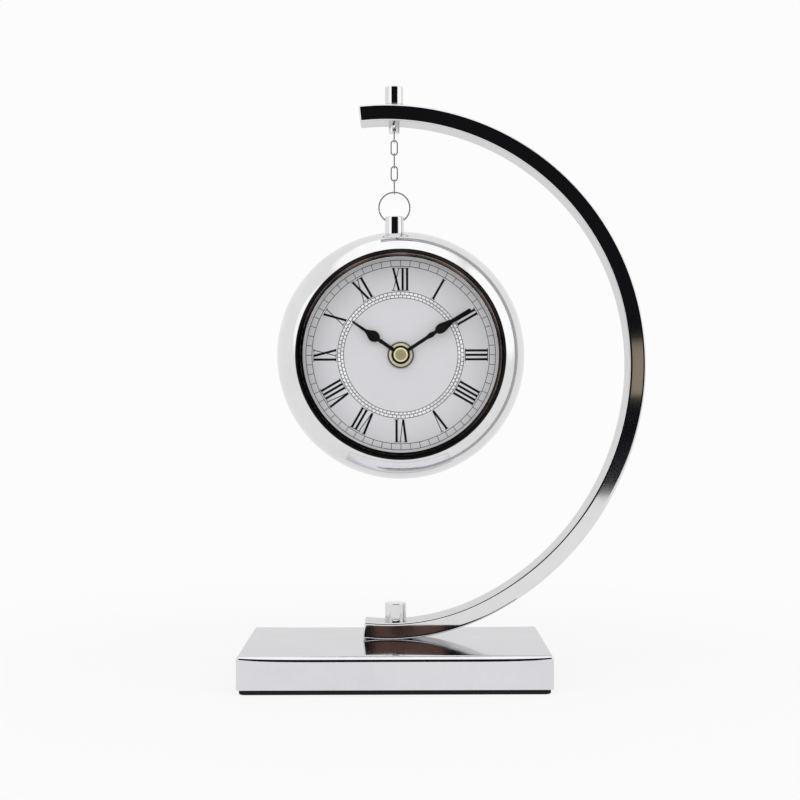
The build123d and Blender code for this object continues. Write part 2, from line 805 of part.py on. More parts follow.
# Coil, its core and the stator plate with the rotor's hole
core_back = core_y + core_thickness
coil_plane = Plane(origin=(case_x + coil_x, core_y + core_thickness / 2, case_z + coil_z), z_dir=(1, 0, 0))
with BuildPart() as coil:
    with BuildSketch(coil_plane):
        Circle(coil_diameter / 2)
    extrude(amount=coil_length / 2, both=True)
    for side in (-1, 1):
        with BuildSketch(coil_plane.offset(side * (coil_length - coil_flange_thickness) / 2)):
            Circle(coil_flange / 2)
        extrude(amount=coil_flange_thickness / 2, both=True)
    with BuildSketch(facing(core_y - fit_gap, coil_x, coil_z)):
        Rectangle(coil_length + overrun, core_width + 2 * fit_gap)
    extrude(amount=-(core_thickness + 2 * fit_gap), mode=Mode.SUBTRACT)
save(coil, "coil")

with BuildPart() as coil_core:
    with BuildSketch(facing(core_y, coil_x, coil_z)):
        Rectangle(core_length, core_width)
    extrude(amount=-core_thickness)
save(coil_core, "coil_core")

leg_height = coil_z + core_width / 2 - rotor_z
with BuildPart() as stator:
    with BuildSketch(facing(core_back, coil_x, rotor_z)):
        Rectangle(core_length, stator_width)
        for side in (-1, 1):
            with Locations((side * core_post_x, leg_height / 2)):
                Rectangle(stator_leg, leg_height)
        Circle(rotor_hole / 2, mode=Mode.SUBTRACT)
    extrude(amount=-core_thickness)
save(stator, "stator")

# Circuit board with its moulded chip and the crystal's can
with BuildPart() as circuit_board:
    with BuildSketch(facing(board_y, board_x, board_z)):
        Rectangle(board_length, board_width)
    extrude(amount=-board_thickness)
save(circuit_board, "circuit_board")

board_back = board_y + board_thickness
with BuildPart() as circuit_chip:
    with BuildSketch(facing(board_back, board_x - board_length / 4, board_z)):
        Circle(chip_diameter / 2)
    extrude(amount=-chip_height, taper=pressure_deg)
save(circuit_chip, "circuit_chip")

crystal_place = (case_x + board_x + board_length / 8, board_back + crystal_diameter / 2, case_z + board_z)
with BuildPart() as quartz_crystal:
    with BuildSketch(Plane(origin=crystal_place, z_dir=(1, 0, 0))):
        Circle(crystal_diameter / 2)
    extrude(amount=crystal_length)
save(quartz_crystal, "quartz_crystal")


def gear_outline(teeth, module, toward_deg):
    """Draws a gear's closed outline with involute flanks, one tooth centred on the bearing toward_deg."""
    pitch = teeth * module / 2
    base = pitch * cos(radians(pressure_deg))
    root = pitch - dedendum_share * module
    tip = pitch + addendum_share * module
    half_tooth = (pi * module / 2 - backlash) / (2 * pitch)

    def half_angle(radius):
        pressure = acos(min(1, base / radius))
        start = radians(pressure_deg)
        return half_tooth + tan(start) - start - tan(pressure) + pressure

    flank = [(radius, half_angle(radius)) for radius in (root, pitch, tip)]
    points = []
    for tooth in range(teeth):
        middle = radians(toward_deg) + 2 * pi * tooth / teeth
        points += [(radius, middle - angle) for radius, angle in flank]
        points += [(radius, middle + angle) for radius, angle in reversed(flank)]
    with BuildLine() as rim:
        Polyline(*[(radius * cos(angle), radius * sin(angle)) for radius, angle in points], close=True)
    make_face(rim.edges())


# Minute arbor: the driving pinion on the shaft that carries the minute hand
with BuildPart() as minute_arbor:
    with BuildSketch(facing(minute_gear_back)):
        gear_outline(pinion_teeth, first_module, wheel_bearing_deg)
    extrude(amount=gear_thickness)
    with BuildSketch(facing(minute_gear_y)):
        Circle(arbor_diameter / 2)
    extrude(amount=minute_gear_y - minute_hand_y)
    with BuildSketch(facing(minute_hand_y)):
        Circle(hand_seat_diameter / 2)
    extrude(amount=minute_hand_y - minute_front + hand_nut_step + hand_nut_height / 2)
    with BuildSketch(facing(minute_gear_back)):
        Circle(arbor_back_diameter / 2)
    extrude(amount=-(cover_in - minute_gear_back - gear_float))
    with BuildSketch(facing(cover_in - gear_float)):
        Circle(pivot_diameter / 2)
    extrude(amount=-(pivot_length + gear_float))
save(minute_arbor, "minute_arbor")

# Minute wheel: wheel and pinion in one moulding, its shaft carrying the setting knob
pinion_side_deg = wheel_bearing_deg + 180
shaft_end = move_back + gear_float + knob_height / 2
wheel_plane = facing(minute_gear_back, wheel_x, wheel_z)
with BuildPart() as minute_wheel:
    with BuildSketch(wheel_plane):
        gear_outline(minute_wheel_teeth, first_module, pinion_side_deg + 180 / minute_wheel_teeth)
    extrude(amount=gear_thickness)
    with BuildSketch(facing(minute_gear_y, wheel_x, wheel_z)):
        gear_outline(minute_pinion_teeth, second_module, pinion_side_deg)
    extrude(amount=minute_gear_y - hour_gear_y)
    with BuildSketch(facing(hour_gear_y, wheel_x, wheel_z)):
        Circle(pivot_diameter / 2)
    extrude(amount=gear_float + pivot_length)
    with BuildSketch(wheel_plane):
        Circle(arbor_back_diameter / 2)
    extrude(amount=-(shaft_end - minute_gear_back))
save(minute_wheel, "minute_wheel")

with BuildPart() as setting_knob:
    with BuildSketch(facing(move_back + gear_float, wheel_x, wheel_z)):
        Circle(knob_diameter / 2)
        with PolarLocations(knob_diameter / 2, knob_flutes):
            Rectangle(knob_flute, knob_flute, rotation=45, mode=Mode.SUBTRACT)
    extrude(amount=-knob_height)
    with BuildSketch(facing(move_back, wheel_x, wheel_z)):
        Circle(arbor_back_diameter / 2 + thread_gap)
    extrude(amount=-(shaft_end - move_back + thread_gap), mode=Mode.SUBTRACT)
save(setting_knob, "setting_knob")

# Hour wheel with the pipe that carries the hour hand
with BuildPart() as hour_wheel:
    with BuildSketch(facing(hour_gear_y + hour_gear_thickness)):
        gear_outline(hour_wheel_teeth, second_module, wheel_bearing_deg + 180 / hour_wheel_teeth)
    extrude(amount=hour_gear_thickness)
    with BuildSketch(facing(hour_gear_y)):
        Circle(hour_pipe_diameter / 2)
    extrude(amount=hour_gear_y - hour_hand_y + hand_thickness)
    with BuildSketch(facing(hour_gear_y + hour_gear_thickness)):
        Circle(hour_pipe_bore / 2)
    extrude(amount=move_depth, mode=Mode.SUBTRACT)
save(hour_wheel, "hour_wheel")

# Rotor: magnet and small pinion on one spindle between the two halves
magnet_y = core_back + (core_thickness + rotor_height) / 2
with BuildPart() as rotor:
    with BuildSketch(facing(magnet_y, rotor_x, rotor_z)):
        Circle(rotor_diameter / 2)
    extrude(amount=rotor_height)
    with BuildSketch(facing(plate_back - pivot_length, rotor_x, rotor_z)):
        Circle(rotor_pin / 2)
    extrude(amount=-(cover_in - plate_back + 2 * pivot_length))
    with BuildSketch(facing(magnet_y, rotor_x, rotor_z)):
        gear_outline(rotor_leaves, rotor_leaf_module, 0)
    extrude(amount=-rotor_height)
save(rotor, "rotor")


def hand_outline(length):
    """Half of a hand's outline mirrored: a thin arm, a small bulge, a larger lozenge and a tapering tip."""
    arm, bulge, lozenge = hand_arm / 2, hand_bulge / 2, hand_lozenge / 2
    with BuildLine() as rim:
        side = Polyline((0, 0), (arm, 0), (arm, bulge_start_share * length))
        small = ThreePointArc(side @ 1, (bulge, bulge_share * length), (arm, bulge_end_share * length))
        large = ThreePointArc(
            small @ 1,
            (lozenge, lozenge_share * length),
            (hand_neck / 2, lozenge_end_share * length),
        )
        Polyline(large @ 1, (hand_tip / 2, length - hand_tip / 2), (0, length))
        mirror(about=Plane.YZ)
    make_face(rim.edges())


hour_shown_deg = hour_mark_deg + shown_minute_deg / 12
with BuildPart() as hour_hand:
    with BuildSketch(hand_plane(hour_hand_y, hour_shown_deg)):
        hand_outline(hour_hand_length)
        Circle(hand_hub_diameter / 2)
        Circle(hour_pipe_diameter / 2 + thread_gap, mode=Mode.SUBTRACT)
    extrude(amount=hand_thickness)
save(hour_hand, "hour_hand")

with BuildPart() as minute_hand:
    with BuildSketch(hand_plane(minute_hand_y, shown_minute_deg)):
        hand_outline(minute_hand_length)
        Circle(hand_hub_diameter / 2)
        Circle(hand_seat_diameter / 2 + thread_gap, mode=Mode.SUBTRACT)
    extrude(amount=hand_thickness)
save(minute_hand, "minute_hand")

# Hand nut: a low round cap with a sloping shoulder, screwed on the arbor's end
nut_bore = hand_seat_diameter / 2 + thread_gap
nut_floor = minute_front - hand_nut_step - hand_nut_height / 2 - thread_gap
with BuildPart() as hand_nut:
    with BuildSketch(head_section):
        with BuildLine():
            Polyline(
                (nut_bore, minute_front),
                (hand_nut_diameter / 2, minute_front),
                (hand_nut_diameter / 2, minute_front - hand_nut_step),
                (hand_nut_cap / 2, hand_nut_y),
                (0, hand_nut_y),
                (0, nut_floor),
                (nut_bore, nut_floor),
                close=True,
            )
        make_face()
    revolve(axis=head_axis)
save(hand_nut, "hand_nut")
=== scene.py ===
from collections import namedtuple
from math import cos, pi, radians, sin, sqrt, tan

import bmesh
import bpy
import numpy as np
from bpy.props import FloatProperty, FloatVectorProperty, IntProperty, PointerProperty
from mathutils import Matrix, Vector


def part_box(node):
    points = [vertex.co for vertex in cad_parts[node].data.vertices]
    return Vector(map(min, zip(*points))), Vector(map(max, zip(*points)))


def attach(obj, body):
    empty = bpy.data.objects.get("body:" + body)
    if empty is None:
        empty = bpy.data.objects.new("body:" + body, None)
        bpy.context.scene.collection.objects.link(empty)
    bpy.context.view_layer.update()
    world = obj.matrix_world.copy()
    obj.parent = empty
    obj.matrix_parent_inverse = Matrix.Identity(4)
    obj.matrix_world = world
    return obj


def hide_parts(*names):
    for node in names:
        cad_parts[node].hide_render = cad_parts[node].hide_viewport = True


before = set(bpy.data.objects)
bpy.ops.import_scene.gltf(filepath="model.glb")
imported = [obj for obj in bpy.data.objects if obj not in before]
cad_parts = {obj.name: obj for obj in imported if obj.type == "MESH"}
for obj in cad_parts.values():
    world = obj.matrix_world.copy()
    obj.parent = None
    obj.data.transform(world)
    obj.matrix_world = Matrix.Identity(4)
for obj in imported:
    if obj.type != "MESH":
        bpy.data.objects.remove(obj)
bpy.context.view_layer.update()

bl_info = {
    "name": "Hanging desk clock",
    "version": (1, 0, 0),
    "blender": (4, 5, 0),
    "location": "3D View > Sidebar > Clock",
    "description": "Dresses the frame of a hanging desk clock: arch, chain, case, dial, hands and stage",
    "category": "Object",
}

MM = 0.001


# Settings


def length(name, millimetres, description):
    """A size property, written in millimetres and kept in metres."""
    return FloatProperty(
        name=name, description=description, default=millimetres * MM,
        unit="LENGTH", subtype="DISTANCE", precision=5,
    )


def angle(name, degrees, description):
    return FloatProperty(
        name=name, description=description, default=radians(degrees), unit="ROTATION", subtype="ANGLE"
    )


def share(name, value, description):
    return FloatProperty(
        name=name, description=description, default=value, min=0.0, max=1.0, subtype="FACTOR"
    )


def amount(name, value, description):
    return FloatProperty(name=name, description=description, default=value, min=0.0)


def count(name, value, description):
    return IntProperty(name=name, description=description, default=value, min=2, max=1000)


def tint(name, rgb, description):
    return FloatVectorProperty(
        name=name, description=description, default=rgb, size=3, min=0.0, max=1.0, subtype="COLOR"
    )


def hand_widths(name, millimetres):
    told = "Widths of the hand's arm, bulge, lozenge, neck and tip"
    default = [value * MM for value in millimetres]
    return FloatVectorProperty(
        name=name, description=told, default=default, size=5, unit="LENGTH", precision=5
    )


def hand_marks(name, shares):
    told = "Shares of the hand's length: bulge's middle and half length, lozenge's start, crest and end"
    return FloatVectorProperty(name=name, description=told, default=shares, size=5, min=0.0, max=1.0)


class BaseSizes(bpy.types.PropertyGroup):
    corner: length("Corner", 1.5, "Radius of the base's upright corners")
    roll_corner: length("Roll at corners", 1.4, "Radius of the top edge's roll at the corners")
    roll_middle: length("Roll mid-side", 2.6, "Radius of that roll half-way along the front and back")
    sheet: length("Sheet", 1.0, "Thickness of the cover's metal")
    bolt_hole: length("Bolt hole", 2.2, "Radius of the hole for the bolt")
    foot_round: length("Foot edge", 0.25, "Rounding of the cover's lower edge")
    pad_corner: length("Pad corner", 3.0, "Corner radius of the foam pad")
    pad_round: length("Pad edge", 0.5, "Rounding of the foam pad's edges")


class ArchSizes(bpy.types.PropertyGroup):
    low_radius: length("Foot arc", 105.0, "Outer radius of the arc that stands on the base")
    side_radius: length("Side arc", 134.3, "Outer radius of the arc at the side")
    top_radius: length("Top arc", 122.4, "Outer radius of the arc over the head")
    low_sweep: angle("Foot sweep", 26.1, "Angle from the foot to the side arc")
    side_sweep: angle("Side sweep", 57.1, "Angle of the side arc")
    foot_x: length("Foot", -2.7, "Sideways place of the arch's lowest point")
    foot_z: length("Foot height", 16.95, "Height of the arch's lowest point")
    low_end: length("Foot end", -15.3, "Sideways place of the bar's lower end")
    top_end: length("Top end", -16.6, "Sideways place of the bar's upper end")
    thickness: length("Thickness", 7.8, "Thickness of the bar")
    edge: length("Edge", 0.85, "Rounding of the bar's edges and ends")
    sunk: length("Seat", 0.02, "How far the bar's foot reaches into the base's top")
    steps: count("Steps", 420, "Cross-sections along the bar")


class HangerSizes(bpy.types.PropertyGroup):
    nut_edge: length("Nut edge", 0.55, "Rounding of the cap nuts' rims")
    nut_crown: length("Nut crown", 0.06, "Rise of a cap nut's top to its middle")
    nut_groove: length("Nut groove", 0.3, "Depth of the fine groove near a cap nut's foot")
    groove_up: length("Groove height", 1.1, "Height of the groove over the nut's foot")
    groove_wide: length("Groove width", 0.4, "Width of the groove")
    clevis_radius: length("Hanger radius", 2.65, "Radius of the slotted hanger")
    clevis_edge: length("Hanger edge", 0.5, "Rounding of the hanger's lower rim")
    clevis_slot: length("Slot", 1.15, "Width of the hanger's slot")
    clevis_slot_height: length("Slot height", 3.7, "Height of the hanger's slot")
    clevis_top: length("Hanger height", 5.1, "Height of the hanger's neck, which ends inside the bar")


class ChainSizes(bpy.types.PropertyGroup):
    wire: length("Link wire", 0.65, "Thickness of the links' wire")
    width: length("Link width", 3.6, "Width of a link over its wire")
    ring_wire: length("Ring wire", 0.7, "Thickness of the ring's wire")
    butt: angle("Ring butt", 2.0, "Gap between the ring's butted ends")
    butt_at: angle("Butt place", 193.0, "Bearing of the ring's butted ends")


class CaseSizes(bpy.types.PropertyGroup):
    radius: length("Case radius", 59.2, "Largest radius of the case")
    bulge: length("Bulge", 18.0, "Radius of the case's bulging section")
    wall: length("Wall", 1.0, "Thickness of the case's wall")
    lip: length("Lip", 49.35, "Radius of the case's front lip")
    collar: length("Collar", 0.8, "Thickness of the collar inside the lip")
    shoulder: length("Shoulder", 2.6, "Width of the shoulder behind the dial")
    rear_edge: length("Rear edge", 47.0, "Outer radius of the flat rear flange")
    rear_opening: length("Rear opening", 42.0, "Radius of the opening at the back")
    fit: length("Fit", 0.08, "Gap between the lip and what is pressed into it")
    bezel_inner: length("Bezel inside", 46.1, "Inner radius of the dark bezel")
    bezel_proud: length("Bezel lip", 0.4, "Height of the bezel's outer bead over the lip")
    bezel_seat: length("Bezel seat", 0.6, "Depth of the gap round the bezel behind the lip")
    bezel_step: length("Bezel step", 0.6, "Thickness of the bezel's inner step")
    crown_radius: length("Crown radius", 4.6, "Radius of the post on top of the case")
    crown_edge: length("Crown edge", 0.55, "Rounding of the post's rim")
    crown_seat: length("Crown seat", 0.05, "How far the post's foot lies inside the case's skin")
    crown_hole: length("Crown hole", 1.4, "Radius of the cross hole for the ring")
    crown_hole_down: length("Hole depth", 2.3, "Depth of the hole's middle under the post's top")
    crown_sink: length("Hole countersink", 0.25, "How much the cross hole's radius grows at its mouths")


class DialSizes(bpy.types.PropertyGroup):
    ink: length("Ink", 0.03, "Thickness of the printing")
    sunk: length("Ink seat", 0.01, "How far the printing reaches into the dial")
    numeral_in: length("Numeral foot", 30.6, "Radius of the numerals' feet")
    numeral_high: length("Numeral height", 10.9, "Height of the numerals")
    narrow: length("I width", 2.1, "Width of the letter I over its serifs")
    wide: length("V and X width", 3.9, "Width of the letters V and X between their strokes' outer edges")
    spare: length("Letter gap", 0.25, "Room added to the letters V and X for their serifs")
    thick: length("Thick stroke", 1.10, "Width of a numeral's thick strokes")
    thin: length("Thin stroke", 0.40, "Width of a numeral's thin strokes")
    serif: length("Serif", 0.32, "Height of the serifs")
    track_out: length("Track outside", 45.1, "Radius of the minute track's outer line")
    track_in: length("Track inside", 42.2, "Radius of the minute track's inner line")
    bricks_out: length("Bricks outside", 30.1, "Outer radius of the ring of small bricks")
    bricks_mid: length("Bricks middle", 28.6, "Radius of the line between the two rows")
    bricks_in: length("Bricks inside", 27.2, "Inner radius of the ring of small bricks")
    line: length("Line", 0.28, "Width of the fine lines")
    bricks: count("Bricks", 90, "Bricks in one row")


class HandSizes(bpy.types.PropertyGroup):
    hour: length("Hour hand", 28.0, "Length of the hour hand from the axis")
    minute: length("Minute hand", 39.5, "Length of the minute hand from the axis")
    hub: length("Hub", 4.35, "Radius of the hands' round hubs")
    hour_bore: length("Hour bore", 2.58, "Radius of the hour hand's hole")
    minute_bore: length("Minute bore", 1.33, "Radius of the minute hand's hole")
    hour_widths: hand_widths("Hour widths", (1.75, 2.1, 5.3, 1.45, 0.95))
    minute_widths: hand_widths("Minute widths", (1.65, 2.5, 4.7, 1.95, 1.35))
    hour_marks: hand_marks("Hour marks", (0.40, 0.03, 0.455, 0.575, 0.73))
    minute_marks: hand_marks("Minute marks", (0.435, 0.065, 0.507, 0.59, 0.75))
    hour_at: angle("Hour angle", 304.75, "The hour hand's angle, clockwise from twelve")
    minute_at: angle("Minute angle", 57.0, "The minute hand's angle, clockwise from twelve")
    tip: share("Tip", 0.985, "Share of a hand's length where its tip starts to round")
    cap: length("Nut cap", 3.55, "Radius of the brass hand nut")
    cap_wall: length("Nut wall", 0.6, "Height of the hand nut's straight wall")
    cap_face: length("Nut face", 2.75, "Radius of the hand nut's flat face")
    cap_dish: length("Nut dish", 1.9, "Radius of the shallow dish in the hand nut's face")
    cap_slope: length("Dish slope", 0.1, "Fall of the face to the dish's rim")
    cap_deep: length("Dish depth", 0.14, "Depth of the dish's middle")
    nut: length("Dial nut", 6.3, "Radius of the round brass nut on the dial")
    nut_bore: length("Dial nut bore", 3.98, "Radius of the round brass nut's hole")
    nut_bevel: length("Dial nut bevel", 0.8, "Bevel of the round brass nut")
    nut_thickness: length("Dial nut thickness", 1.6, "Thickness of the round brass nut")


class BackSizes(bpy.types.PropertyGroup):
    window: length("Window", 58.0, "Side of the rear cover's square window")
    window_corner: length("Window corner", 4.0, "Radius of the window's corners")
    edge: length("Cover edge", 0.45, "Rounding of the rear cover's edges")
    screws: count("Screws", 3, "Screws in the rear cover, the first at the top")
    screw_ring: length("Screw ring", 44.6, "Radius of the circle of screws")
    screw_shank: length("Screw shank", 1.1, "Radius of a screw's shank")
    screw_gap: length("Screw gap", 0.1, "Room round a screw's shank in the cover")
    screw_head: length("Screw head", 1.9, "Radius of a screw's head")
    screw_high: length("Screw head height", 1.5, "Height of a screw's head")
    screw_slot: length("Screw slot", 0.8, "Width of a screw's slot")
    button: length("Battery button", 2.75, "Radius of the battery's button")
    button_high: length("Button height", 1.2, "Height of the battery's button")
    groove_down: length("Cell groove", 1.6, "Depth of the cell's rolled groove under its shoulder")
    groove_deep: length("Groove depth", 0.3, "Depth of the rolled groove")
    groove_half: length("Groove half width", 0.5, "Half the width of the rolled groove")
    flutes: count("Flutes", 16, "Flutes round the knob")
    flute: length("Knob flute", 0.42, "Depth of the knob's flutes")
    knob_edge: length("Knob edge", 0.45, "Rounding of the knob's rim")
    knob_rim: length("Knob rim", 1.1, "Width of the knob's raised rim")
    knob_dish: length("Knob dish", 0.2, "Depth of the dish in the knob's face")


class Finishes(bpy.types.PropertyGroup):
    plate: tint("Polished plate", (0.755, 0.755, 0.764), "Colour of the arch's and case's polished plating")
    base_plate: tint("Base plate", (0.745, 0.742, 0.772), "Colour of the base's polished plating")
    wire: tint("Wire", (0.33, 0.33, 0.34), "Colour of the plated wire")
    # brightened almost threefold, this tint is the bezel's painted brown reflection; the bezel's own black
    # is set in dark_chrome
    bezel: tint("Bezel", (0.100, 0.080, 0.072), "Colour of the dark bezel")
    dial: tint("Dial", (0.745, 0.742, 0.765), "Colour of the satin dial")
    ink: tint("Ink", (0.006, 0.006, 0.007), "Colour of the black printing")
    fine_ink: tint("Fine ink", (0.020, 0.020, 0.021), "Colour of the fine printed lines")
    lacquer: tint("Hand lacquer", (0.004, 0.004, 0.0045), "Colour of the hands")
    brass: tint("Brass", (0.62, 0.55, 0.36), "Colour of the brass pieces")
    # painted sheen: the pale rings where the brass nuts show the white room
    brass_painted_sheen: tint("Pale brass", (0.97, 0.93, 0.70), "Colour of the bright rings of the brass nuts")
    olive_brass: tint("Dull brass", (0.36, 0.31, 0.15), "Colour of the brass cap's middle")
    dark_brass: tint("Dark brass", (0.055, 0.045, 0.018), "Colour of the brass nuts' shaded rims")
    foam: tint("Pad", (0.012, 0.012, 0.013), "Colour of the foam pad")
    black: tint("Black plastic", (0.022, 0.022, 0.024), "Colour of the moulded plastic")
    cell: tint("Battery", (0.10, 0.13, 0.19), "Colour of the battery's plain skin")


class StudioSizes(bpy.types.PropertyGroup):
    floor: length("Floor", 9000.0, "Side of the floor")
    shadow_near: length("Shadow near", 120.0, "Distance where the floor's shadows start to fade")
    shadow_far: length("Shadow far", 400.0, "Distance where the floor's shadows are gone")
    shadow_left: share("Shadow left", 0.84, "How far the floor near the clock is lifted to the background")
    white: share("White", 0.975, "Brightness of the background")
    fill: amount("Fill", 0.55, "Strength of the room's soft light")
    box_power: amount("Softbox", 5.3, "Power of one softbox in watts")
    box_side: length("Softbox side", 1200.0, "Side of a softbox")
    box_aim: length("Softbox aim", 130.0, "Height on the clock that the softboxes face")
    panel_aim: length("Panel aim", 150.0, "Height on the clock that the bright panels face")
    dark_far: length("Dark end", 1240.0, "Distance of the unlit end of the room behind the camera")
    dark_half: length("Dark half width", 1160.0, "Half the width of the unlit end")
    dark_high: length("Dark height", 1360.0, "Height of the unlit end")
    camera_x: length("Camera sideways", 2.6, "Sideways place of the camera")
    camera_y: length("Camera distance", -656.0, "Place of the camera towards the reader")
    camera_z: length("Camera height", 129.8, "Height of the camera")
    roll: angle("Camera roll", 0.17, "Roll of the camera")
    lens: amount("Lens", 63.0, "Focal length in millimetres")


GROUPS = (
    ("clock_base", BaseSizes), ("clock_arch", ArchSizes), ("clock_hanger", HangerSizes),
    ("clock_chain", ChainSizes), ("clock_case", CaseSizes), ("clock_dial", DialSizes),
    ("clock_hands", HandSizes), ("clock_back", BackSizes), ("clock_finish", Finishes),
    ("clock_studio", StudioSizes),
)


# Surfaces


Box = namedtuple("Box", "low high middle")


def box(name):
    """A node's box: its lowest corner, its highest corner and its middle, each as three numbers."""
    low, high = (np.array(spot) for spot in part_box(name))
    return Box(low, high, (low + high) / 2)


def points(x, y, z):
    """Points from their three coordinates, each stretched to the shape of the others."""
    return np.stack(np.broadcast_arrays(x, y, z), axis=-1)


def surface(grid, close_rows=False, poles=False):
    """A grid of points (rows, columns, 3) as points and quads. Each row closes on itself, and poles adds
    a row shrunk to its middle at each end."""
    if poles:
        first, last = (np.broadcast_to(row.mean(0), row.shape) for row in (grid[0], grid[-1]))
        grid = np.concatenate([first[None], grid, last[None]])
    rows, columns = grid.shape[:2]
    r = np.arange(rows if close_rows else rows - 1)[:, None]
    c = np.arange(columns)[None, :]
    right, up = (c + 1) % columns, (r + 1) % rows
    quads = [r * columns + c, r * columns + right, up * columns + right, up * columns + c]
    faces = np.stack(np.broadcast_arrays(*quads), axis=-1).reshape(-1, 4)
    return grid.reshape(-1, 3), faces


def rounded(corners, radii, steps=6, closed=False):
    """A line of corners with each corner replaced by an arc that touches both sides, and a point either
    side of it that keeps the flats flat. A radius of nought leaves the corner sharp."""
    corners = np.array(corners, float)
    total, line = len(corners), []
    for n in range(total):
        here, radius = corners[n], radii[n]
        if radius == 0 or (not closed and n in (0, total - 1)):
            line.append(here[None])
            continue
        back, on = corners[n - 1] - here, corners[(n + 1) % total] - here
        back_far, on_far = np.hypot(*back), np.hypot(*on)
        back, on = back / back_far, on / on_far
        half = np.arccos(np.clip(back @ on, -1, 1)) / 2
        reach = radius / tan(half)
        way = (back + on) / np.hypot(*(back + on))
        centre = here + way * radius / sin(half)
        start, end = here + back * reach, here + on * reach
        turn = pi - 2 * half
        part = np.linspace(0, 1, steps + 1)[:, None]
        a, b = start - centre, end - centre
        arc = centre + (np.sin((1 - part) * turn) * a + np.sin(part * turn) * b) / sin(turn)
        hold_back, hold_on = (
            min(0.5 * radius, 0.25 * (far - reach)) if far > reach else 0 for far in (back_far, on_far)
        )
        line += [(start + back * hold_back)[None], arc, (end + on * hold_on)[None]]
    return np.concatenate(line)


def turned(outline, centre, axis="Y", around=96, closed=False):
    """A line of (radius, height) turned about an axis along Y or Z through a centre: each point goes
    round a circle of its radius at its height."""
    turn = np.linspace(0, 2 * pi, around, endpoint=False)
    radius, height = outline[:, :1], outline[:, 1:]
    across, up = radius * np.cos(turn), radius * np.sin(turn)
    x, y, z = centre
    grid = points(x + across, y + up, height) if axis == "Z" else points(x + across, height, z + up)
    return surface(grid, close_rows=closed)


def lathe(profile, centre, axis="Y", steps=6, around=96, closed=False):
    """A profile whose rows hold a corner's radius, its height and its rounding, turned about an axis."""
    profile = np.array(profile, float)
    return turned(rounded(profile[:, :2], profile[:, 2], steps, closed), centre, axis, around, closed)


def tube(path, tangent, binormal, radius, around=14, closed=True):
    """A round wire: a circle at each point of a flat path, in the plane across the path's direction."""
    turn = np.linspace(0, 2 * pi, around, endpoint=False)[None, :, None]
    binormal = np.broadcast_to(binormal, tangent.shape)
    normal = np.cross(binormal, tangent)
    grid = path[:, None] + radius * (np.cos(turn) * normal[:, None] + np.sin(turn) * binormal[:, None])
    return surface(grid, close_rows=closed, poles=not closed)


# Signs of a rectangle's corners, in turn round it
QUARTERS = np.array([(1, 1), (-1, 1), (-1, -1), (1, -1)])


def box_loop(half_a, half_b, radius, steps=6):
    """Points round a rounded rectangle, as arrays over any number of rows: four quarter circles, each
    with a point either side of it on the straight, at 0.6 of the corner's radius."""
    half_a, half_b, radius = (np.reshape(value, (-1, 1)) for value in (half_a, half_b, radius))
    a, b = [], []
    for quarter, (sign_a, sign_b) in enumerate(QUARTERS):
        turn = quarter * pi / 2 + np.linspace(0, pi / 2, steps + 1)
        arc_a = sign_a * (half_a - radius) + radius * np.cos(turn)
        arc_b = sign_b * (half_b - radius) + radius * np.sin(turn)
        before, after = ((0.6 * radius * sin(at), 0.6 * radius * cos(at)) for at in (turn[0], turn[-1]))
        a += [arc_a[:, :1] + before[0], arc_a, arc_a[:, -1:] - after[0]]
        b += [arc_b[:, :1] - before[1], arc_b, arc_b[:, -1:] + after[1]]
    return np.concatenate(a, axis=1), np.concatenate(b, axis=1)


def prisms(x, z, front, back):
    """Flat four-sided shapes, whose corners' x and z are arrays (n, 4), as closed prisms between two
    depths."""
    solid = np.concatenate([points(x, front, z), points(x, back, z)], axis=1)
    sides = [[0, 1, 2, 3], [7, 6, 5, 4]] + [[n, n + 4, (n + 1) % 4 + 4, (n + 1) % 4] for n in range(4)]
    faces = np.array(sides)[None] + 8 * np.arange(len(solid))[:, None, None]
    return solid.reshape(-1, 3), faces.reshape(-1, 4)


def smooth(mesh, crease):
    mesh.shade_smooth()
    mesh.set_sharp_from_angle(angle=radians(crease))


def put(name, surfaces, finish, body, replaces=(), crease=32.0):
    """Surfaces as one mesh: doubles merged, faces turned outward, shading broken at edges sharper than
    crease."""
    spots, faces, start = [], [], 0
    for some_spots, some_faces in surfaces:
        spots.append(some_spots)
        faces.append(some_faces + start)
        start += len(some_spots)
    mesh = bpy.data.meshes.new(name)
    mesh.from_pydata(np.concatenate(spots).tolist(), [], np.concatenate(faces).tolist())
    shell = bmesh.new()
    shell.from_mesh(mesh)
    bmesh.ops.remove_doubles(shell, verts=shell.verts, dist=2e-7)
    bmesh.ops.dissolve_degenerate(shell, edges=shell.edges, dist=1e-8)
    bmesh.ops.recalc_face_normals(shell, faces=shell.faces)
    shell.to_mesh(mesh)
    shell.free()
    smooth(mesh, crease)
    piece = bpy.data.objects.new(name, mesh)
    bpy.context.scene.collection.objects.link(piece)
    mesh.materials.append(bpy.data.materials[finish])
    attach(piece, body)
    if replaces:
        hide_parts(*replaces)
    return piece


def cut(piece, surfaces, crease=32.0):
    """Takes the space inside closed surfaces out of a piece."""
    knife = put("knife", surfaces, piece.data.materials[0].name, "stand")
    carve = piece.modifiers.new("cut", "BOOLEAN")
    carve.operation, carve.solver, carve.object = "DIFFERENCE", "EXACT", knife
    carved = piece.evaluated_get(bpy.context.evaluated_depsgraph_get())
    mesh = bpy.data.meshes.new_from_object(carved)
    piece.modifiers.clear()
    spares = piece.data, knife.data
    piece.data = mesh
    bpy.data.objects.remove(knife)
    for spare in spares:
        bpy.data.meshes.remove(spare)
    mesh.name = piece.name
    smooth(mesh, crease)


# Finishes


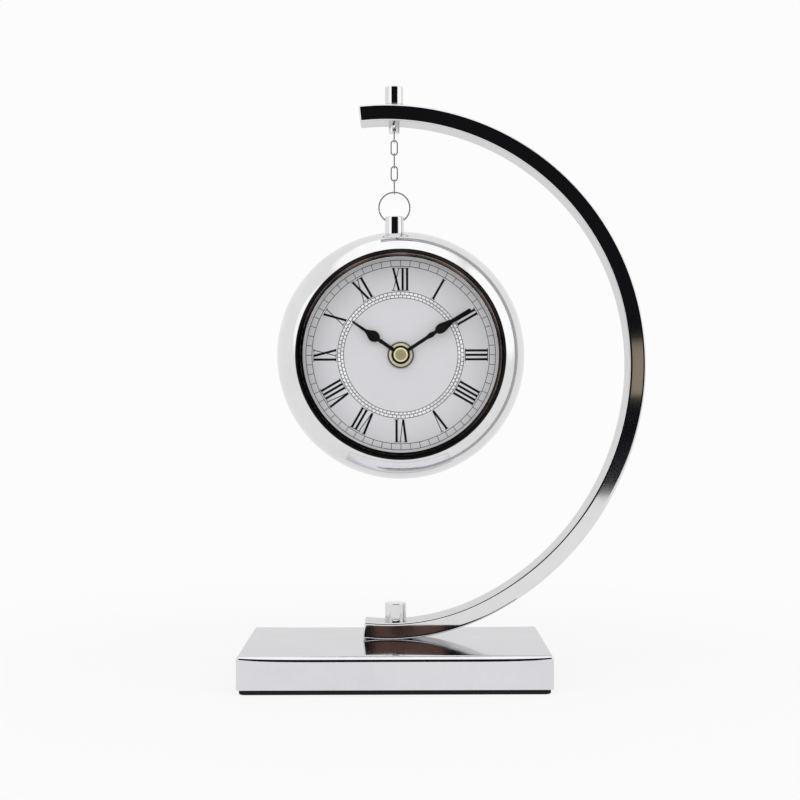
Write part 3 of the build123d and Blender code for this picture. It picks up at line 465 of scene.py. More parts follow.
class Flow:
    """One socket's value. Sums, products and comparisons with numbers or other flows add Math nodes."""

    def __init__(self, coat, socket):
        self.coat, self.socket = coat, socket

    def math(self, operation, *others, swap=False):
        terms = [self, *others][::-1] if swap else [self, *others]
        return self.coat.node("ShaderNodeMath", {"operation": operation}, dict(enumerate(terms)))

    def __add__(self, other):
        return self.math("ADD", other)

    __radd__ = __add__

    def __sub__(self, other):
        return self.math("SUBTRACT", other)

    def __rsub__(self, other):
        return self.math("SUBTRACT", other, swap=True)

    def __mul__(self, other):
        return self.math("MULTIPLY", other)

    __rmul__ = __mul__

    def __truediv__(self, other):
        return self.math("DIVIDE", other)

    def __pow__(self, other):
        return self.math("POWER", other)

    def __gt__(self, other):
        return self.math("GREATER_THAN", other)

    def clamped(self):
        return self.coat.node("ShaderNodeClamp", {}, {"Value": self})


class Coat:
    """One procedural material, made under a name, or a given world, built up from nodes."""

    def __init__(self, owner):
        self.owner = bpy.data.materials.new(owner) if isinstance(owner, str) else owner
        self.owner.use_nodes = True
        self.tree = self.owner.node_tree
        self.tree.nodes.clear()

    def node(self, kind, settings=None, inputs=None, output=0):
        """Adds a node: its settings first, a ramp's stops among them, then its sockets' values or links."""
        made = self.tree.nodes.new(kind)
        for key, value in (settings or {}).items():
            if key == "stops":
                while len(made.color_ramp.elements) < len(value):
                    made.color_ramp.elements.new(1.0)
                for element, (at, colour) in zip(made.color_ramp.elements, value):
                    element.position, element.color = at, (*colour, 1.0)
            else:
                setattr(made, key, value)
        for key, value in (inputs or {}).items():
            self.feed(made.inputs[key], value)
        return Flow(self, made.outputs[output]) if made.outputs else None

    def feed(self, socket, value):
        if isinstance(value, Flow):
            self.tree.links.new(value.socket, socket)
        elif hasattr(value, "__len__") and socket.type == "RGBA" and len(value) == 3:
            socket.default_value = (*value, 1.0)
        else:
            socket.default_value = value

    def place(self, stretch=None, centre=(0, 0, 0)):
        """The object's own coordinates, or those moved to a centre and then stretched."""
        spot = self.node("ShaderNodeTexCoord", output="Object")
        if stretch is None:
            return spot
        moved = self.node("ShaderNodeVectorMath", {"operation": "SUBTRACT"}, {0: spot, 1: tuple(centre)})
        return self.node("ShaderNodeMapping", {"vector_type": "POINT"}, {"Vector": moved, "Scale": stretch})

    def axis(self, name):
        """One of the object's own coordinates."""
        return self.node("ShaderNodeSeparateXYZ", {}, {"Vector": self.place()}, output=name)

    def distance(self, centre=(0, 0, 0), stretch=(1, 0, 1)):
        """The distance from an axis along Y through a centre; another stretch flattens other directions."""
        spot = self.place(stretch, centre)
        return self.node("ShaderNodeVectorMath", {"operation": "LENGTH"}, {0: spot}, output=1)

    def drawn_out(self, value, start, end, low=0.0, high=1.0, curve="SMOOTHSTEP"):
        """A value's range between start and end drawn out to one between low and high, and held past
        them."""
        return self.node(
            "ShaderNodeMapRange", {"clamp": True, "interpolation_type": curve},
            {"Value": value, "From Min": start, "From Max": end, "To Min": low, "To Max": high},
        )

    def noise(self, scale, detail=3.0, rough=0.5, at=None):
        """Soft noise between nought and one; its usual middle range is drawn out to the two ends."""
        value = self.node(
            "ShaderNodeTexNoise", {"noise_dimensions": "3D"},
            {"Vector": at or self.place(), "Scale": scale, "Detail": detail, "Roughness": rough},
        )
        return self.drawn_out(value, 0.3, 0.7, curve="LINEAR")

    def blend(self, factor, first, second):
        """A colour between two colours."""
        return self.node("ShaderNodeMix", {"data_type": "RGBA"}, {0: factor, 6: first, 7: second}, output=2)

    def bump(self, height, distance):
        return self.node("ShaderNodeBump", {}, {"Height": height, "Distance": distance, "Strength": 1.0})

    def glow(self, colour, strength=1.0):
        return self.node("ShaderNodeEmission", {}, {"Color": colour, "Strength": strength})

    def mix(self, factor, first, second):
        """A shader between two shaders."""
        return self.node("ShaderNodeMixShader", {}, {0: factor, 1: first, 2: second})

    def skin(self, **sockets):
        """The surface shader; words in a socket's name are joined by underscores."""
        inputs = {key.replace("_", " "): value for key, value in sockets.items()}
        return self.node("ShaderNodeBsdfPrincipled", {}, inputs)

    def done(self, shader):
        self.node("ShaderNodeOutputMaterial", {}, {"Surface": shader})
        return self.owner


def shade(colour, factor):
    return tuple(min(1.0, channel * factor) for channel in colour)


def metal(
    name, colour, rough=0.05, smudge=0.03, wave=2e-6, wave_scale=25.0, pits=4e-7, worn=0.93, edge=1.0
):
    """Plated or bare metal: smudges change its roughness, a slow wave and fine pits its surface. Edge is
    how much of the usual shine is left at a low angle."""
    coat = Coat(name)
    smear = coat.noise(55.0, 4.0, 0.62)
    specks = coat.noise(900.0, 2.0, 0.5)
    slow = coat.noise(wave_scale, 1.0, 0.4)
    coat.done(coat.skin(
        Base_Color=coat.blend(smear, shade(colour, worn), colour),
        Metallic=1.0,
        Roughness=rough + smear * smudge,
        Specular_Tint=(edge, edge, edge, 1.0),
        Normal=coat.bump(slow * (wave / pits) + specks, pits),
    ))


def dark_chrome(name, colour, centre):
    """Black chrome with a brown painted reflection on the inner bead in cloudy stretches at the ring's
    upper right, black on the outer bead and at the lower left."""
    coat = Coat(name)
    groove, upper_right = 48.2 * MM, (15.0, 0.0, 20.0)
    along = coat.node(
        "ShaderNodeVectorMath", {"operation": "DOT_PRODUCT"},
        {0: coat.place((1, 1, 1), centre), 1: upper_right}, output=1,
    )
    cloud = coat.noise(60.0, 2.0, 0.6)
    inner = ((groove - coat.distance(centre)) * 3000.0).clamped()
    # painted reflection: brown on the inner bead towards the upper right, in cloudy stretches
    thin = (along + 0.45).clamped() * (0.12 + cloud * 0.88) * (0.10 + inner * 0.90)
    smear = coat.noise(120.0, 3.0, 0.6)
    coat.done(coat.skin(
        # the chrome's own near black, and the bezel tint brightened for the painted reflection
        Base_Color=coat.blend(thin, (0.016, 0.014, 0.014), shade(colour, 2.9)),
        Metallic=1.0, Roughness=0.07 + smear * 0.08, Normal=coat.bump(smear, 2.0e-6),
    ))


def moulded(name, colour, rough=0.42, grain=1.2e-5, scale=1400.0, coat_weight=0.0, gloss=0.5):
    """Moulded plastic, rubber or lacquer: a fine grain, with slightly polished and slightly paler
    places."""
    coat = Coat(name)
    cloud = coat.noise(70.0, 3.0, 0.55)
    fine = coat.noise(scale, 2.0, 0.5)
    coat.done(coat.skin(
        Base_Color=coat.blend(cloud, shade(colour, 0.88), shade(colour, 1.15)),
        Roughness=rough + cloud * 0.07 - fine * 0.04,
        Specular_IOR_Level=gloss,
        Coat_Weight=coat_weight,
        Coat_Roughness=0.12,
        Normal=coat.bump(fine, grain),
    ))


def satin_dial(name, colour, centre, radius):
    """Satin silver dial: a fine vertical brush in the paint, and a painted shade of the bezel's shadow
    close to the rim.
    """
    coat = Coat(name)
    # painted shade: the bezel's shadow, darkening the dial towards its rim
    rim = (coat.distance(centre) / radius).clamped() ** 11.0
    brush = coat.noise(1.0, 4.0, 0.6, coat.place((3500.0, 3500.0, 160.0)))
    cloud = coat.noise(38.0, 3.0, 0.5)
    tone = coat.blend(rim, colour, shade(colour, 0.66))
    tone = coat.blend(brush * 0.16, tone, shade(colour, 0.88))
    tone = coat.blend(cloud * 0.12, tone, shade(colour, 1.12))
    coat.done(coat.skin(
        Base_Color=tone, Metallic=0.12, Roughness=0.46 + brush * 0.1, Normal=coat.bump(brush, 2.0e-6)
    ))


def turned_brass(name, centre, radius, stops):
    """Lathe-turned brass under fine turning rings, whose tone changes with the distance from the axis by
    given stops that paint its sheen and its shade.
    """
    coat = Coat(name)
    out = coat.distance(centre)
    tone = coat.node("ShaderNodeValToRGB", {"stops": stops}, {"Fac": out / radius})
    rings = (out * 42000.0).math("SINE")
    smear = coat.noise(400.0, 3.0, 0.6)
    coat.done(coat.skin(
        Base_Color=coat.blend(smear * 0.25, tone, (0.30, 0.25, 0.12)), Metallic=0.25,
        Roughness=0.30 + smear * 0.12, Normal=coat.bump(rings, 1.5e-6),
    ))


def battery_skin(name, colour, foot, head):
    """A cell's plain shrunk skin, with bare metal showing along two bands at its foot and its head."""
    coat = Coat(name)
    cell, up = box("battery"), coat.axis("Z")
    bare = ((up > cell.high[2] - head) + (cell.low[2] + foot - up > 0.0)).clamped()
    smear = coat.noise(90.0, 3.0, 0.6)
    tone = coat.blend(smear, shade(colour, 0.85), shade(colour, 1.15))
    coat.done(coat.skin(
        Base_Color=coat.blend(bare, tone, (0.60, 0.60, 0.61)), Metallic=bare,
        Roughness=0.26 + smear * 0.1, Normal=coat.bump(smear, 4.0e-6),
    ))


def clear_glass(name):
    """Flat glass: mostly clear, with a faint reflection that grows at low angles and a few soft smears."""
    coat = Coat(name)
    smear = coat.noise(30.0, 3.0, 0.6)
    slant = coat.node("ShaderNodeLayerWeight", {}, {"Blend": 0.5}, output="Facing")
    outside = 1.0 - coat.node("ShaderNodeNewGeometry", output="Backfacing")
    clear = coat.node("ShaderNodeBsdfTransparent", {}, {"Color": (0.99, 0.99, 0.992)})
    shine = coat.node("ShaderNodeBsdfGlossy", {}, {"Color": (1.0, 1.0, 1.0), "Roughness": 0.02})
    strength = (0.035 + slant**5 * 0.9) * outside * (0.8 + smear * 0.2)
    coat.done(coat.mix(strength, clear, shine))


def make_finishes(look):
    head = box("glass_lens").middle
    metal("polished_base", look.base_plate, smudge=0.05, edge=0.84)
    metal("polished_arch", look.plate, rough=0.035, wave=6e-6, wave_scale=16.0, pits=1.5e-7, edge=0.80)
    metal("polished_case", look.plate, rough=0.03, wave=3e-6)
    metal("polished_posts", look.plate, rough=0.03)
    metal("plated_wire", look.wire, rough=0.12, smudge=0.08, pits=1.2e-6)
    metal("satin_brass", look.brass, rough=0.34, smudge=0.14, wave=1e-6, pits=6e-6, worn=0.72)
    metal("zinc", (0.48, 0.48, 0.47), rough=0.32, smudge=0.12, pits=3e-6)
    metal("spring_steel", (0.50, 0.50, 0.49), rough=0.22, smudge=0.1)
    metal("magnet_iron", (0.16, 0.16, 0.17), rough=0.4, smudge=0.12, pits=3e-6)
    metal("core_iron", (0.33, 0.32, 0.31), rough=0.38, smudge=0.12, pits=3e-6)
    moulded("black_plastic", look.black, grain=4e-6, scale=1100.0)
    moulded("white_plastic", (0.72, 0.72, 0.70), rough=0.4)
    moulded("gear_plastic", (0.70, 0.68, 0.60), rough=0.36)
    moulded("foam_pad", look.foam, rough=0.9, grain=6e-5, scale=900.0, gloss=0.2)
    moulded("filler_board", (0.34, 0.24, 0.15), rough=0.8, grain=5e-5, scale=600.0, gloss=0.25)
    moulded("gasket", (0.03, 0.03, 0.03), rough=0.75, grain=2e-5)
    moulded("board_lacquer", (0.05, 0.20, 0.09), rough=0.4)
    moulded("copper_winding", (0.42, 0.14, 0.06), rough=0.35, grain=3e-5, scale=2200.0, coat_weight=0.5)
    moulded("hand_lacquer", look.lacquer, rough=0.40, grain=2e-6, gloss=0.1)
    moulded("dial_ink", look.ink, rough=0.5, grain=2e-6, gloss=0.15)
    moulded("fine_ink", look.fine_ink, rough=0.55, grain=2e-6, gloss=0.2)
    moulded("pale_print", (0.86, 0.86, 0.87), rough=0.5, grain=2e-6)
    dark_chrome("dark_bezel", look.bezel, head)
    # 47 mm is the reach of the dial's painted rim shade
    satin_dial("satin_dial", look.dial, head, 47.0 * MM)
    # The nuts' tones by radius: pale rings are painted sheen, the dark rims painted shade, and the cap's
    # face olive
    pale, dull, dark = look.brass_painted_sheen, look.olive_brass, look.dark_brass
    turned_brass("cap_brass", head, 4.0 * MM, (
        (0.0, dull), (0.62, shade(dull, 1.25)), (0.70, pale), (0.80, pale), (0.85, dark), (1.0, dark),
    ))
    turned_brass("nut_brass", head, 6.4 * MM, (
        (0.0, pale), (0.66, shade(pale, 0.94)), (0.84, pale), (0.88, dark), (1.0, dark),
    ))
    battery_skin("cell_skin", look.cell, 0.7 * MM, 1.9 * MM)
    clear_glass("flat_glass")


# Nodes that are carried over as they are, by finish
CARRIED = {
    "filler_board": ("base_block",),
    "zinc": ("base_bolt", "base_washer", "crown_screw", "quartz_crystal"),
    "spring_steel": ("hanger_pin", "contact_plus", "contact_minus"),
    "flat_glass": ("glass_lens",),
    "white_plastic": ("dial_spacer",),
    "satin_dial": ("dial_plate",),
    "black_plastic": ("movement_housing", "movement_cover", "circuit_chip"),
    "satin_brass": ("mounting_bush", "dial_washer"),
    "gasket": ("movement_gasket",),
    "board_lacquer": ("circuit_board",),
    "copper_winding": ("coil",),
    "core_iron": ("coil_core", "stator"),
    "gear_plastic": ("minute_arbor", "minute_wheel", "hour_wheel"),
    "magnet_iron": ("rotor",),
}


# Pieces


def base_cover(size):
    """Pressed cover. Round the rim: a rounded rectangle. Across it: from the bolt's hole out over the
    flat top, round a roll whose radius swells along the front and back by one less the seventh power of
    the distance from the side's middle, down the wall, and back inside."""
    shell = box("base_shell")
    half = (shell.high - shell.low)[:2] / 2
    spots, normals, rolls = [], [], []
    for quarter in range(4):
        turn = quarter * pi / 2 + np.linspace(0, pi / 2, 7)
        way = np.stack([np.cos(turn), np.sin(turn)], axis=1)
        bend = QUARTERS[quarter] * (half - size.corner) + size.corner * way
        end = QUARTERS[(quarter + 1) % 4] * (half - size.corner) + size.corner * way[-1]
        t = np.linspace(0, 1, 40 if quarter % 2 else 60)[1:-1]
        swell = (1 - np.abs(2 * t - 1) ** 7) * (1 - quarter % 2)
        spots += [bend, bend[-1] + (end - bend[-1]) * t[:, None]]
        normals += [way, np.broadcast_to(way[-1], (len(t), 2))]
        more = size.roll_middle - size.roll_corner
        rolls += [size.roll_corner + 0 * turn, size.roll_corner + more * swell]
    spot, normal, roll = (np.concatenate(some) for some in (spots, normals, rolls))
    hang = box("top_cap_nut").middle[:2]
    rim = spot - normal * roll[:, None]
    spoke = rim - hang
    outward = spoke / np.linalg.norm(spoke, axis=1)[:, None]
    hole = hang + size.bolt_hole * outward
    top, foot, inner = shell.high[2], shell.low[2], shell.high[2] - size.sheet

    def row(inwards, z):
        """The rim's outermost points moved inwards along their normals, at a height."""
        x, y = (spot - normal * np.reshape(inwards, (-1, 1))).T
        return points(x, y, z)

    flat = (hole, rim - 0.3 * spoke, rim - 0.6 * outward * roll[:, None])
    rows = [points(*some.T, top) for some in flat]
    rows += [row(roll * (1 - cos(a)), top - roll * (1 - sin(a))) for a in np.linspace(pi / 2, 0, 11)]
    rows += [row(0, top - 1.4 * roll), row(0, foot + 2 * size.foot_round)]
    for a in np.linspace(0, pi / 2, 4):
        rows.append(row(size.foot_round * (1 - cos(a)), foot + size.foot_round * (1 - sin(a))))
    rows += [row(size.sheet, foot), row(size.sheet, inner), points(*hole.T, inner)]
    return surface(np.stack(rows), close_rows=True)


def foam_pad(size):
    """Stack of rounded rectangles whose size follows a quarter circle at the lower and upper edge."""
    pad = box("base_pad")
    half = (pad.high - pad.low) / 2
    turn = np.concatenate([np.linspace(-pi / 2, 0, 5), np.linspace(0, pi / 2, 5)])
    inset = size.pad_round * (1 - np.cos(turn))
    level = np.repeat([pad.low[2] + size.pad_round, pad.high[2] - size.pad_round], 5)
    x, y = box_loop(half[0] - inset, half[1] - inset, size.pad_corner - inset, 8)
    z = (level + size.pad_round * np.sin(turn))[:, None]
    return surface(points(pad.middle[0] + x, pad.middle[1] + y, z), poles=True)


def arch_sweep(size):
    """A rounded rectangle carried along three tangent arcs: at angle a from the foot's bearing a point
    lies at the arc's centre plus its radius times (sin a, -cos a), less how far it is in from the outer
    face. At each end the section shrinks along a quarter circle and closes."""
    low, side, top = size.low_radius, size.side_radius, size.top_radius
    one, two = size.low_sweep, size.low_sweep + size.side_sweep
    first = np.array([size.foot_x, size.foot_z + low])
    second = first + (low - side) * np.array([sin(one), -cos(one)])
    third = second + (side - top) * np.array([sin(two), -cos(two)])
    start = -np.arcsin((size.foot_x - size.low_end) / low)
    end = pi + np.arcsin((third[0] - size.top_end) / top)
    turn, edge = np.linspace(0, pi / 2, 6), size.edge
    along, inwards = edge * (1 - np.sin(turn)), edge * (1 - np.cos(turn))
    between = np.linspace(start + 1.3 * edge / low, end - 1.3 * edge / top, size.steps)
    a = np.concatenate([start + along[::-1] / low, between, end - along / top])
    inset = np.concatenate([inwards[::-1], np.zeros(len(between)), inwards])
    bar = box("arch_bar")
    deep = (bar.high - bar.low)[1] / 2
    across, y = box_loop(size.thickness / 2 - inset, deep - inset, edge - 0.7 * inset)
    arc = np.searchsorted([one, two], a, side="right")
    centre = np.array([first, second, third])[arc]
    reach = np.array([low, side, top])[arc, None] - size.thickness / 2 - across
    x = centre[:, :1] + reach * np.sin(a)[:, None]
    z = centre[:, 1:] - reach * np.cos(a)[:, None]
    floor = box("base_shell").high[2] - size.sunk
    return surface(points(x, bar.middle[1] + y, np.maximum(z, floor)), poles=True)


def cap_nut(size, node):
    """A turned nut: flat foot, fine groove, straight wall and a rounded rim under a slightly crowned
    top."""
    nut = box(node)
    radius, foot, top = (nut.high - nut.low)[0] / 2, nut.low[2], nut.high[2]
    groove = foot + size.groove_up
    over, shallow = groove + size.groove_wide, radius - size.nut_groove
    profile = [
        (0, foot, 0), (radius, foot, 0.1 * MM), (radius, groove, 0.06 * MM), (shallow, groove, 0.1 * MM),
        (shallow, over, 0.1 * MM), (radius, over, 0.06 * MM), (radius, top - size.nut_crown, size.nut_edge),
        (0, top, 0),
    ]
    return lathe(profile, nut.middle, "Z", around=64)


def hanger_post(size):
    """The turned neck of the hanger, from the slot's roof to a little way into the bar."""
    post, radius = box("hanger_clevis"), size.clevis_radius
    roof, top = post.low[2] + size.clevis_slot_height, post.low[2] + size.clevis_top
    outline = np.array([(0, roof), (0.9 * radius, roof), (radius, roof), (radius, top), (0, top)])
    return turned(outline, post.middle, "Z", around=72)


def hanger_prong(size, side):
    """One side of the slot: a round section cut straight along the slot, whose radius follows a quarter
    circle at the lower rim. The points go along the arc and back along the chord."""
    post, rim = box("hanger_clevis"), size.clevis_edge
    turn = np.linspace(pi / 2, 0, 7)
    radius = np.append(size.clevis_radius - rim * (1 - np.cos(turn)), size.clevis_radius)[:, None]
    up = np.append(rim * (1 - np.sin(turn)), size.clevis_slot_height)[:, None]
    flat = size.clevis_slot / 2
    half = np.arccos(flat / radius)
    arc = half * np.linspace(-1, 1, 33)
    chord = radius * np.sin(half) * np.linspace(1, -1, 9)[1:-1]
    x = np.concatenate([radius * np.cos(arc), np.full_like(chord, flat)], axis=1)
    y = np.concatenate([radius * np.sin(arc), chord], axis=1)
    grid = points(post.middle[0] + side * x, post.middle[1] + y, post.low[2] + up)
    return surface(grid, poles=True)


def chain_link(size, number):
    """Round wire along a stadium: two half circles joined by straights, its width in turn along Y and
    along X."""
    link = box(f"link_{number}")
    wire, bend = size.wire / 2, (size.width - size.wire) / 2
    top, foot = link.high[2] - wire - bend, link.low[2] + wire + bend
    turn, straight = np.linspace(0, pi, 21), np.linspace(0, 1, 6)[1:-1]
    ones = np.ones(len(straight))
    way_across = np.concatenate([-np.sin(turn), 0 * ones, np.sin(turn), 0 * ones])
    way_up = np.concatenate([np.cos(turn), -ones, -np.cos(turn), ones])
    up = np.concatenate([
        top + bend * np.sin(turn), top + (foot - top) * straight,
        foot - bend * np.sin(turn), foot + (top - foot) * straight,
    ])
    side = np.array([0.0, 1.0, 0.0] if number % 2 else [1.0, 0.0, 0.0])
    upward = np.array([0.0, 0.0, 1.0])
    path = link.middle * (1, 1, 0) + bend * way_up[:, None] * side + up[:, None] * upward
    tangent = way_across[:, None] * side + way_up[:, None] * upward
    return tube(path, tangent, np.cross(side, upward), wire)


def hanging_ring(size):
    """Round wire along a circle that faces the reader, with a narrow gap between its butted ends."""
    ring = box("hanging_ring")
    radius = ((ring.high - ring.low)[2] - size.ring_wire) / 2
    a = size.butt_at + np.linspace(size.butt / 2, 2 * pi - size.butt / 2, 160)
    path = ring.middle + radius * points(np.cos(a), 0, np.sin(a))
    return tube(path, points(-np.sin(a), 0, np.cos(a)), (0.0, -1.0, 0.0), size.ring_wire / 2, closed=False)


def crown_post(size):
    """A post whose foot follows the case: at each bearing the wall runs from the height of the bulging
    ring at that point up to a rounded rim."""
    crown, case = box("crown"), box("case_shell").middle
    hub, radius = size.radius - size.bulge, size.crown_radius
    around = np.linspace(0, 2 * pi, 72, endpoint=False)
    rim = rounded([(1, 0), (1, 1), (0, 1)], [0, size.crown_edge / radius, 0], 8)
    rows = []
    for wide, high in [(0.0, 0.0), (0.5, 0.0), *rim[:-1].tolist(), (0.0, 1.0)]:
        x = crown.middle[0] + wide * radius * np.cos(around)
        y = crown.middle[1] + wide * radius * np.sin(around)
        out = hub + np.sqrt(size.bulge**2 - (y - case[1]) ** 2)
        skin = case[2] + np.sqrt(out**2 - (x - case[0]) ** 2)
        z = skin - size.crown_seat if high == 0 else crown.high[2] - (1 - high) * radius
        rows.append(points(x, y, z))
    return surface(np.stack(rows))


def cross_drill(size):
    """A round bar across the crown along X, as wide as its hole, whose radius grows in a straight line at
    both mouths, where the hole is countersunk: from 0.84 of the crown's radius on."""
    crown, start = box("crown"), 0.84
    turn = np.linspace(0, 2 * pi, 40, endpoint=False)
    shares = np.array([-1.3, -start, start, 1.3])[:, None]
    radius = size.crown_hole + size.crown_sink * (np.abs(shares) - start) / (1 - start)
    x = crown.middle[0] + shares * size.crown_radius
    z = crown.high[2] - size.crown_hole_down + radius * np.sin(turn)
    return surface(points(x, crown.middle[1] + radius * np.cos(turn), z), poles=True)


def bulge_places(size):
    """The radius and depth of the bulging section's middle, and the depth of the case's front lip."""
    hub = size.radius - size.bulge
    centre_y = box("case_shell").high[1] - sqrt(size.bulge**2 - (size.rear_edge - hub) ** 2)
    return hub, centre_y, centre_y - sqrt(size.bulge**2 - (size.lip - hub) ** 2)


def case_ring(size):
    """A bulging ring: outside, a circle of the bulge's radius swept from the rear flange over the crest
    to the lip; then the collar and shoulder inside the lip, and back along the inside of the wall."""
    hub, centre_y, lip_y = bulge_places(size)
    rear_y, shoulder_y = box("case_shell").high[1], box("dial_plate").high[1]
    collar, rest = size.lip + size.collar, size.lip - size.shoulder
    inner = size.bulge - size.wall
    front = centre_y - sqrt(inner**2 - (collar - hub) ** 2)
    rear = rear_y - size.wall
    far = hub + sqrt(inner**2 - (rear - centre_y) ** 2)

    def sweep(radius, start, end, steps):
        """Part of a circle round the bulging section's middle, between the bearings of two points."""
        a = np.linspace(*(np.arctan2(y - centre_y, out - hub) for out, y in (start, end)), steps)
        return np.stack([hub + radius * np.cos(a), centre_y + radius * np.sin(a)], axis=1)

    outside = sweep(size.bulge, (size.rear_edge, rear_y), (size.lip, lip_y), 110)
    inside = sweep(inner, (collar, front), (far, rear), 40)
    lip = rounded(
        [
            (size.lip + 0.1 * MM, lip_y), (size.lip, lip_y), (size.lip, shoulder_y), (rest, shoulder_y),
            (rest, shoulder_y + size.collar), (collar, shoulder_y + size.collar), (collar, front),
        ],
        [0, 0.06 * MM, 0.1 * MM, 0.1 * MM, 0.1 * MM, 0.2 * MM, 0], 3,
    )
    flange = rounded(
        [(far, rear), (size.rear_opening, rear), (size.rear_opening, rear_y), (size.rear_edge, rear_y)],
        [0, 0.2 * MM, 0.2 * MM, 0], 3,
    )
    outline = np.concatenate([outside, lip[1:-1], inside, flange[1:-1]])
    return turned(outline, box("case_shell").middle, around=256, closed=True)


# The bezel's turned front from its rim inwards, in millimetres: how far in from the rim and how far back
# from the outer bead's crest a corner lies, and its rounding
BEZEL_FRONT = (
    (0.2, 0.0, 0.36), (1.0, 0.0, 0.36), (1.15, 1.2, 0.10), (1.4, 1.2, 0.08), (1.5, 0.7, 0.26),
    (2.15, 0.9, 0.30),
)


def bezel(size):
    """A dark turned ring: a narrow gap beside the lip, two round beads with a groove between them, a
    slope down to a flat step on the glass."""
    lip_y = bulge_places(size)[2]
    out, proud, gap_y = size.lip - size.fit, lip_y - size.bezel_proud, lip_y + size.bezel_seat
    glass = box("glass_lens").low[1]
    step = glass - size.bezel_step
    profile = [
        (size.bezel_inner, glass, 0.05 * MM), (out, glass, 0.05 * MM), (out, gap_y, 0.05 * MM),
        (out - 0.2 * MM, gap_y, 0.08 * MM),
    ]
    profile += [(out - inwards * MM, proud + back * MM, edge * MM) for inwards, back, edge in BEZEL_FRONT]
    profile += [(out - 2.5 * MM, step, 0.15 * MM), (size.bezel_inner, step, 0.15 * MM)]
    return lathe(profile, box("case_shell").middle, steps=5, around=256, closed=True)


def round_dial(out, across, clockwise):
    """The x and z of places on the dial: out from the hands' axis at a clockwise angle from twelve, then
    across to the right of that line."""
    x, _, z = box("dial_plate").middle
    s, c = np.sin(clockwise), np.cos(clockwise)
    return x + out * s + across * c, z + out * c - across * s


def printed(size, x, z):
    """Flat shapes on the dial as ink: prisms from a little way inside the dial to the ink's thickness
    over it."""
    face = box("dial_plate").low[1]
    return prisms(x, z, face - size.ink, face + size.sunk)


def numeral_strokes(size, text):
    """Four-sided strokes of one Roman numeral on a grid of its own: x across, y from its feet up."""
    high, thick, thin, serif = size.numeral_high, size.thick, size.thin, size.serif
    widths = {"I": size.narrow, "V": size.wide + size.spare, "X": size.wide + size.spare}
    at, strokes = -sum(widths[letter] for letter in text) / 2, []

    def stroke(foot, head, width):
        half = width / 2
        strokes.append([(foot - half, 0), (foot + half, 0), (head + half, high), (head - half, high)])

    def bar(left, right, y):
        low, top = y - serif / 2, y + serif / 2
        strokes.append([(left, low), (right, low), (right, top), (left, top)])

    head_y, half = high - serif / 2, (size.wide - thick) / 2
    for letter in text:
        end = at + widths[letter]
        mid = (at + end) / 2
        if letter == "I":
            stroke(mid, mid, thick)
            bar(at, end, serif / 2)
            bar(at, end, head_y)
        elif letter == "V":
            stroke(mid, mid - half, thick)
            stroke(mid + 0.2 * thick, mid + half, thin)
            bar(at, mid - half + thick, head_y)
            bar(mid + half - 0.8 * thick, end, head_y)
        else:
            stroke(mid + half, mid - half, thick)
            stroke(mid - half, mid + half, thin)
            for y in (serif / 2, head_y):
                bar(at, mid - half + thick, y)
                bar(mid + half - thick, end, y)
        at = end
    return np.array(strokes)


def numerals(size):
    """The twelve numerals, feet to the middle: each stroke's x runs along the tangent, its y out along
    the radius."""
    texts = ["XII", "I", "II", "III", "IIII", "V", "VI", "VII", "VIII", "IX", "X", "XI"]
    strokes = [numeral_strokes(size, text) for text in texts]
    turn = np.repeat(np.arange(12) * pi / 6, [len(some) for some in strokes])[:, None]
    across, up = np.moveaxis(np.concatenate(strokes), -1, 0)
    return printed(size, *round_dial(size.numeral_in + up, across, turn))


def printed_circle(size, radius, width=None, thin=1.0):
    """A flat printed line round the dial: a rectangle turned about the hands' axis. Thin is a share of
    the ink's thickness."""
    dial, half = box("dial_plate"), (width or size.line) / 2
    under, top = dial.low[1] + size.sunk, dial.low[1] - size.ink * thin
    outline = [(radius - half, under), (radius + half, under), (radius + half, top), (radius - half, top)]
    return turned(np.array(outline), dial.middle, around=240, closed=True)


def printed_bars(size, low, high, total, first=0.0):
    """Short radial bars between two radii, evenly round the dial; first turns them by a share of their
    pitch."""
    half = size.line / 2
    turn = (first + np.arange(total))[:, None] * 2 * pi / total
    out, across = np.array([low, low, high, high]), np.array([-half, half, half, -half])
    return printed(size, *round_dial(out, across, turn))


def hand_width(widths, marks, tip_at, s):
    """Half the width of a hand at share s of its length: an arm, a long low bulge, a lozenge that rises
    along a quarter of an ellipse and falls along a hollow line, and a tip that narrows in a straight line
    to a round end."""
    arm, bulge, lozenge, neck, tip = (value / 2 for value in widths)
    place, half, start, widest, end = marks
    width = arm + (bulge - arm) * np.cos(np.clip((s - place) / half, -1, 1) * pi / 2) ** 2
    rise = np.clip((s - start) / (widest - start), 0, 1)
    fall = np.clip((s - widest) / (end - widest), 0, 1)
    width = np.where(s > start, arm + (lozenge - arm) * np.sqrt(1 - (1 - rise) ** 2) ** 1.1, width)
    width = np.where(s > widest, neck + (lozenge - neck) * (1 - fall**1.25) ** 1.35, width)
    width = np.where(s > end, neck + (tip - neck) * (s - end) / (1 - end), width)
    return width * np.sqrt(1 - np.clip((s - tip_at) / (1 - tip_at), 0, 1) ** 2 * 0.8)


def hand_blade(size, name):
    """A stamped hand: at each share of its length a flattened superellipse, its half width from
    hand_width."""
    hand, reach, clockwise = box(f"{name}_hand"), getattr(size, name), getattr(size, f"{name}_at")
    widths, marks = getattr(size, f"{name}_widths"), getattr(size, f"{name}_marks")
    start, widest, end = marks[2:]
    s = np.unique(np.concatenate([
        np.linspace(0.8 * size.hub / reach, 1, 90), start + np.linspace(0, 1, 12) ** 2 * (widest - start),
        [end], np.linspace(size.tip, 1, 7),
    ]))
    turn = np.linspace(0, 2 * pi, 20, endpoint=False)
    across, deep = (np.sign(way) * np.abs(way) ** 0.35 for way in (np.cos(turn), np.sin(turn)))
    width = hand_width(widths, marks, size.tip, s)[:, None]
    x, z = round_dial(s[:, None] * reach, width * across, clockwise)
    return surface(points(x, hand.middle[1] + (hand.high - hand.low)[1] / 2 * deep, z), poles=True)


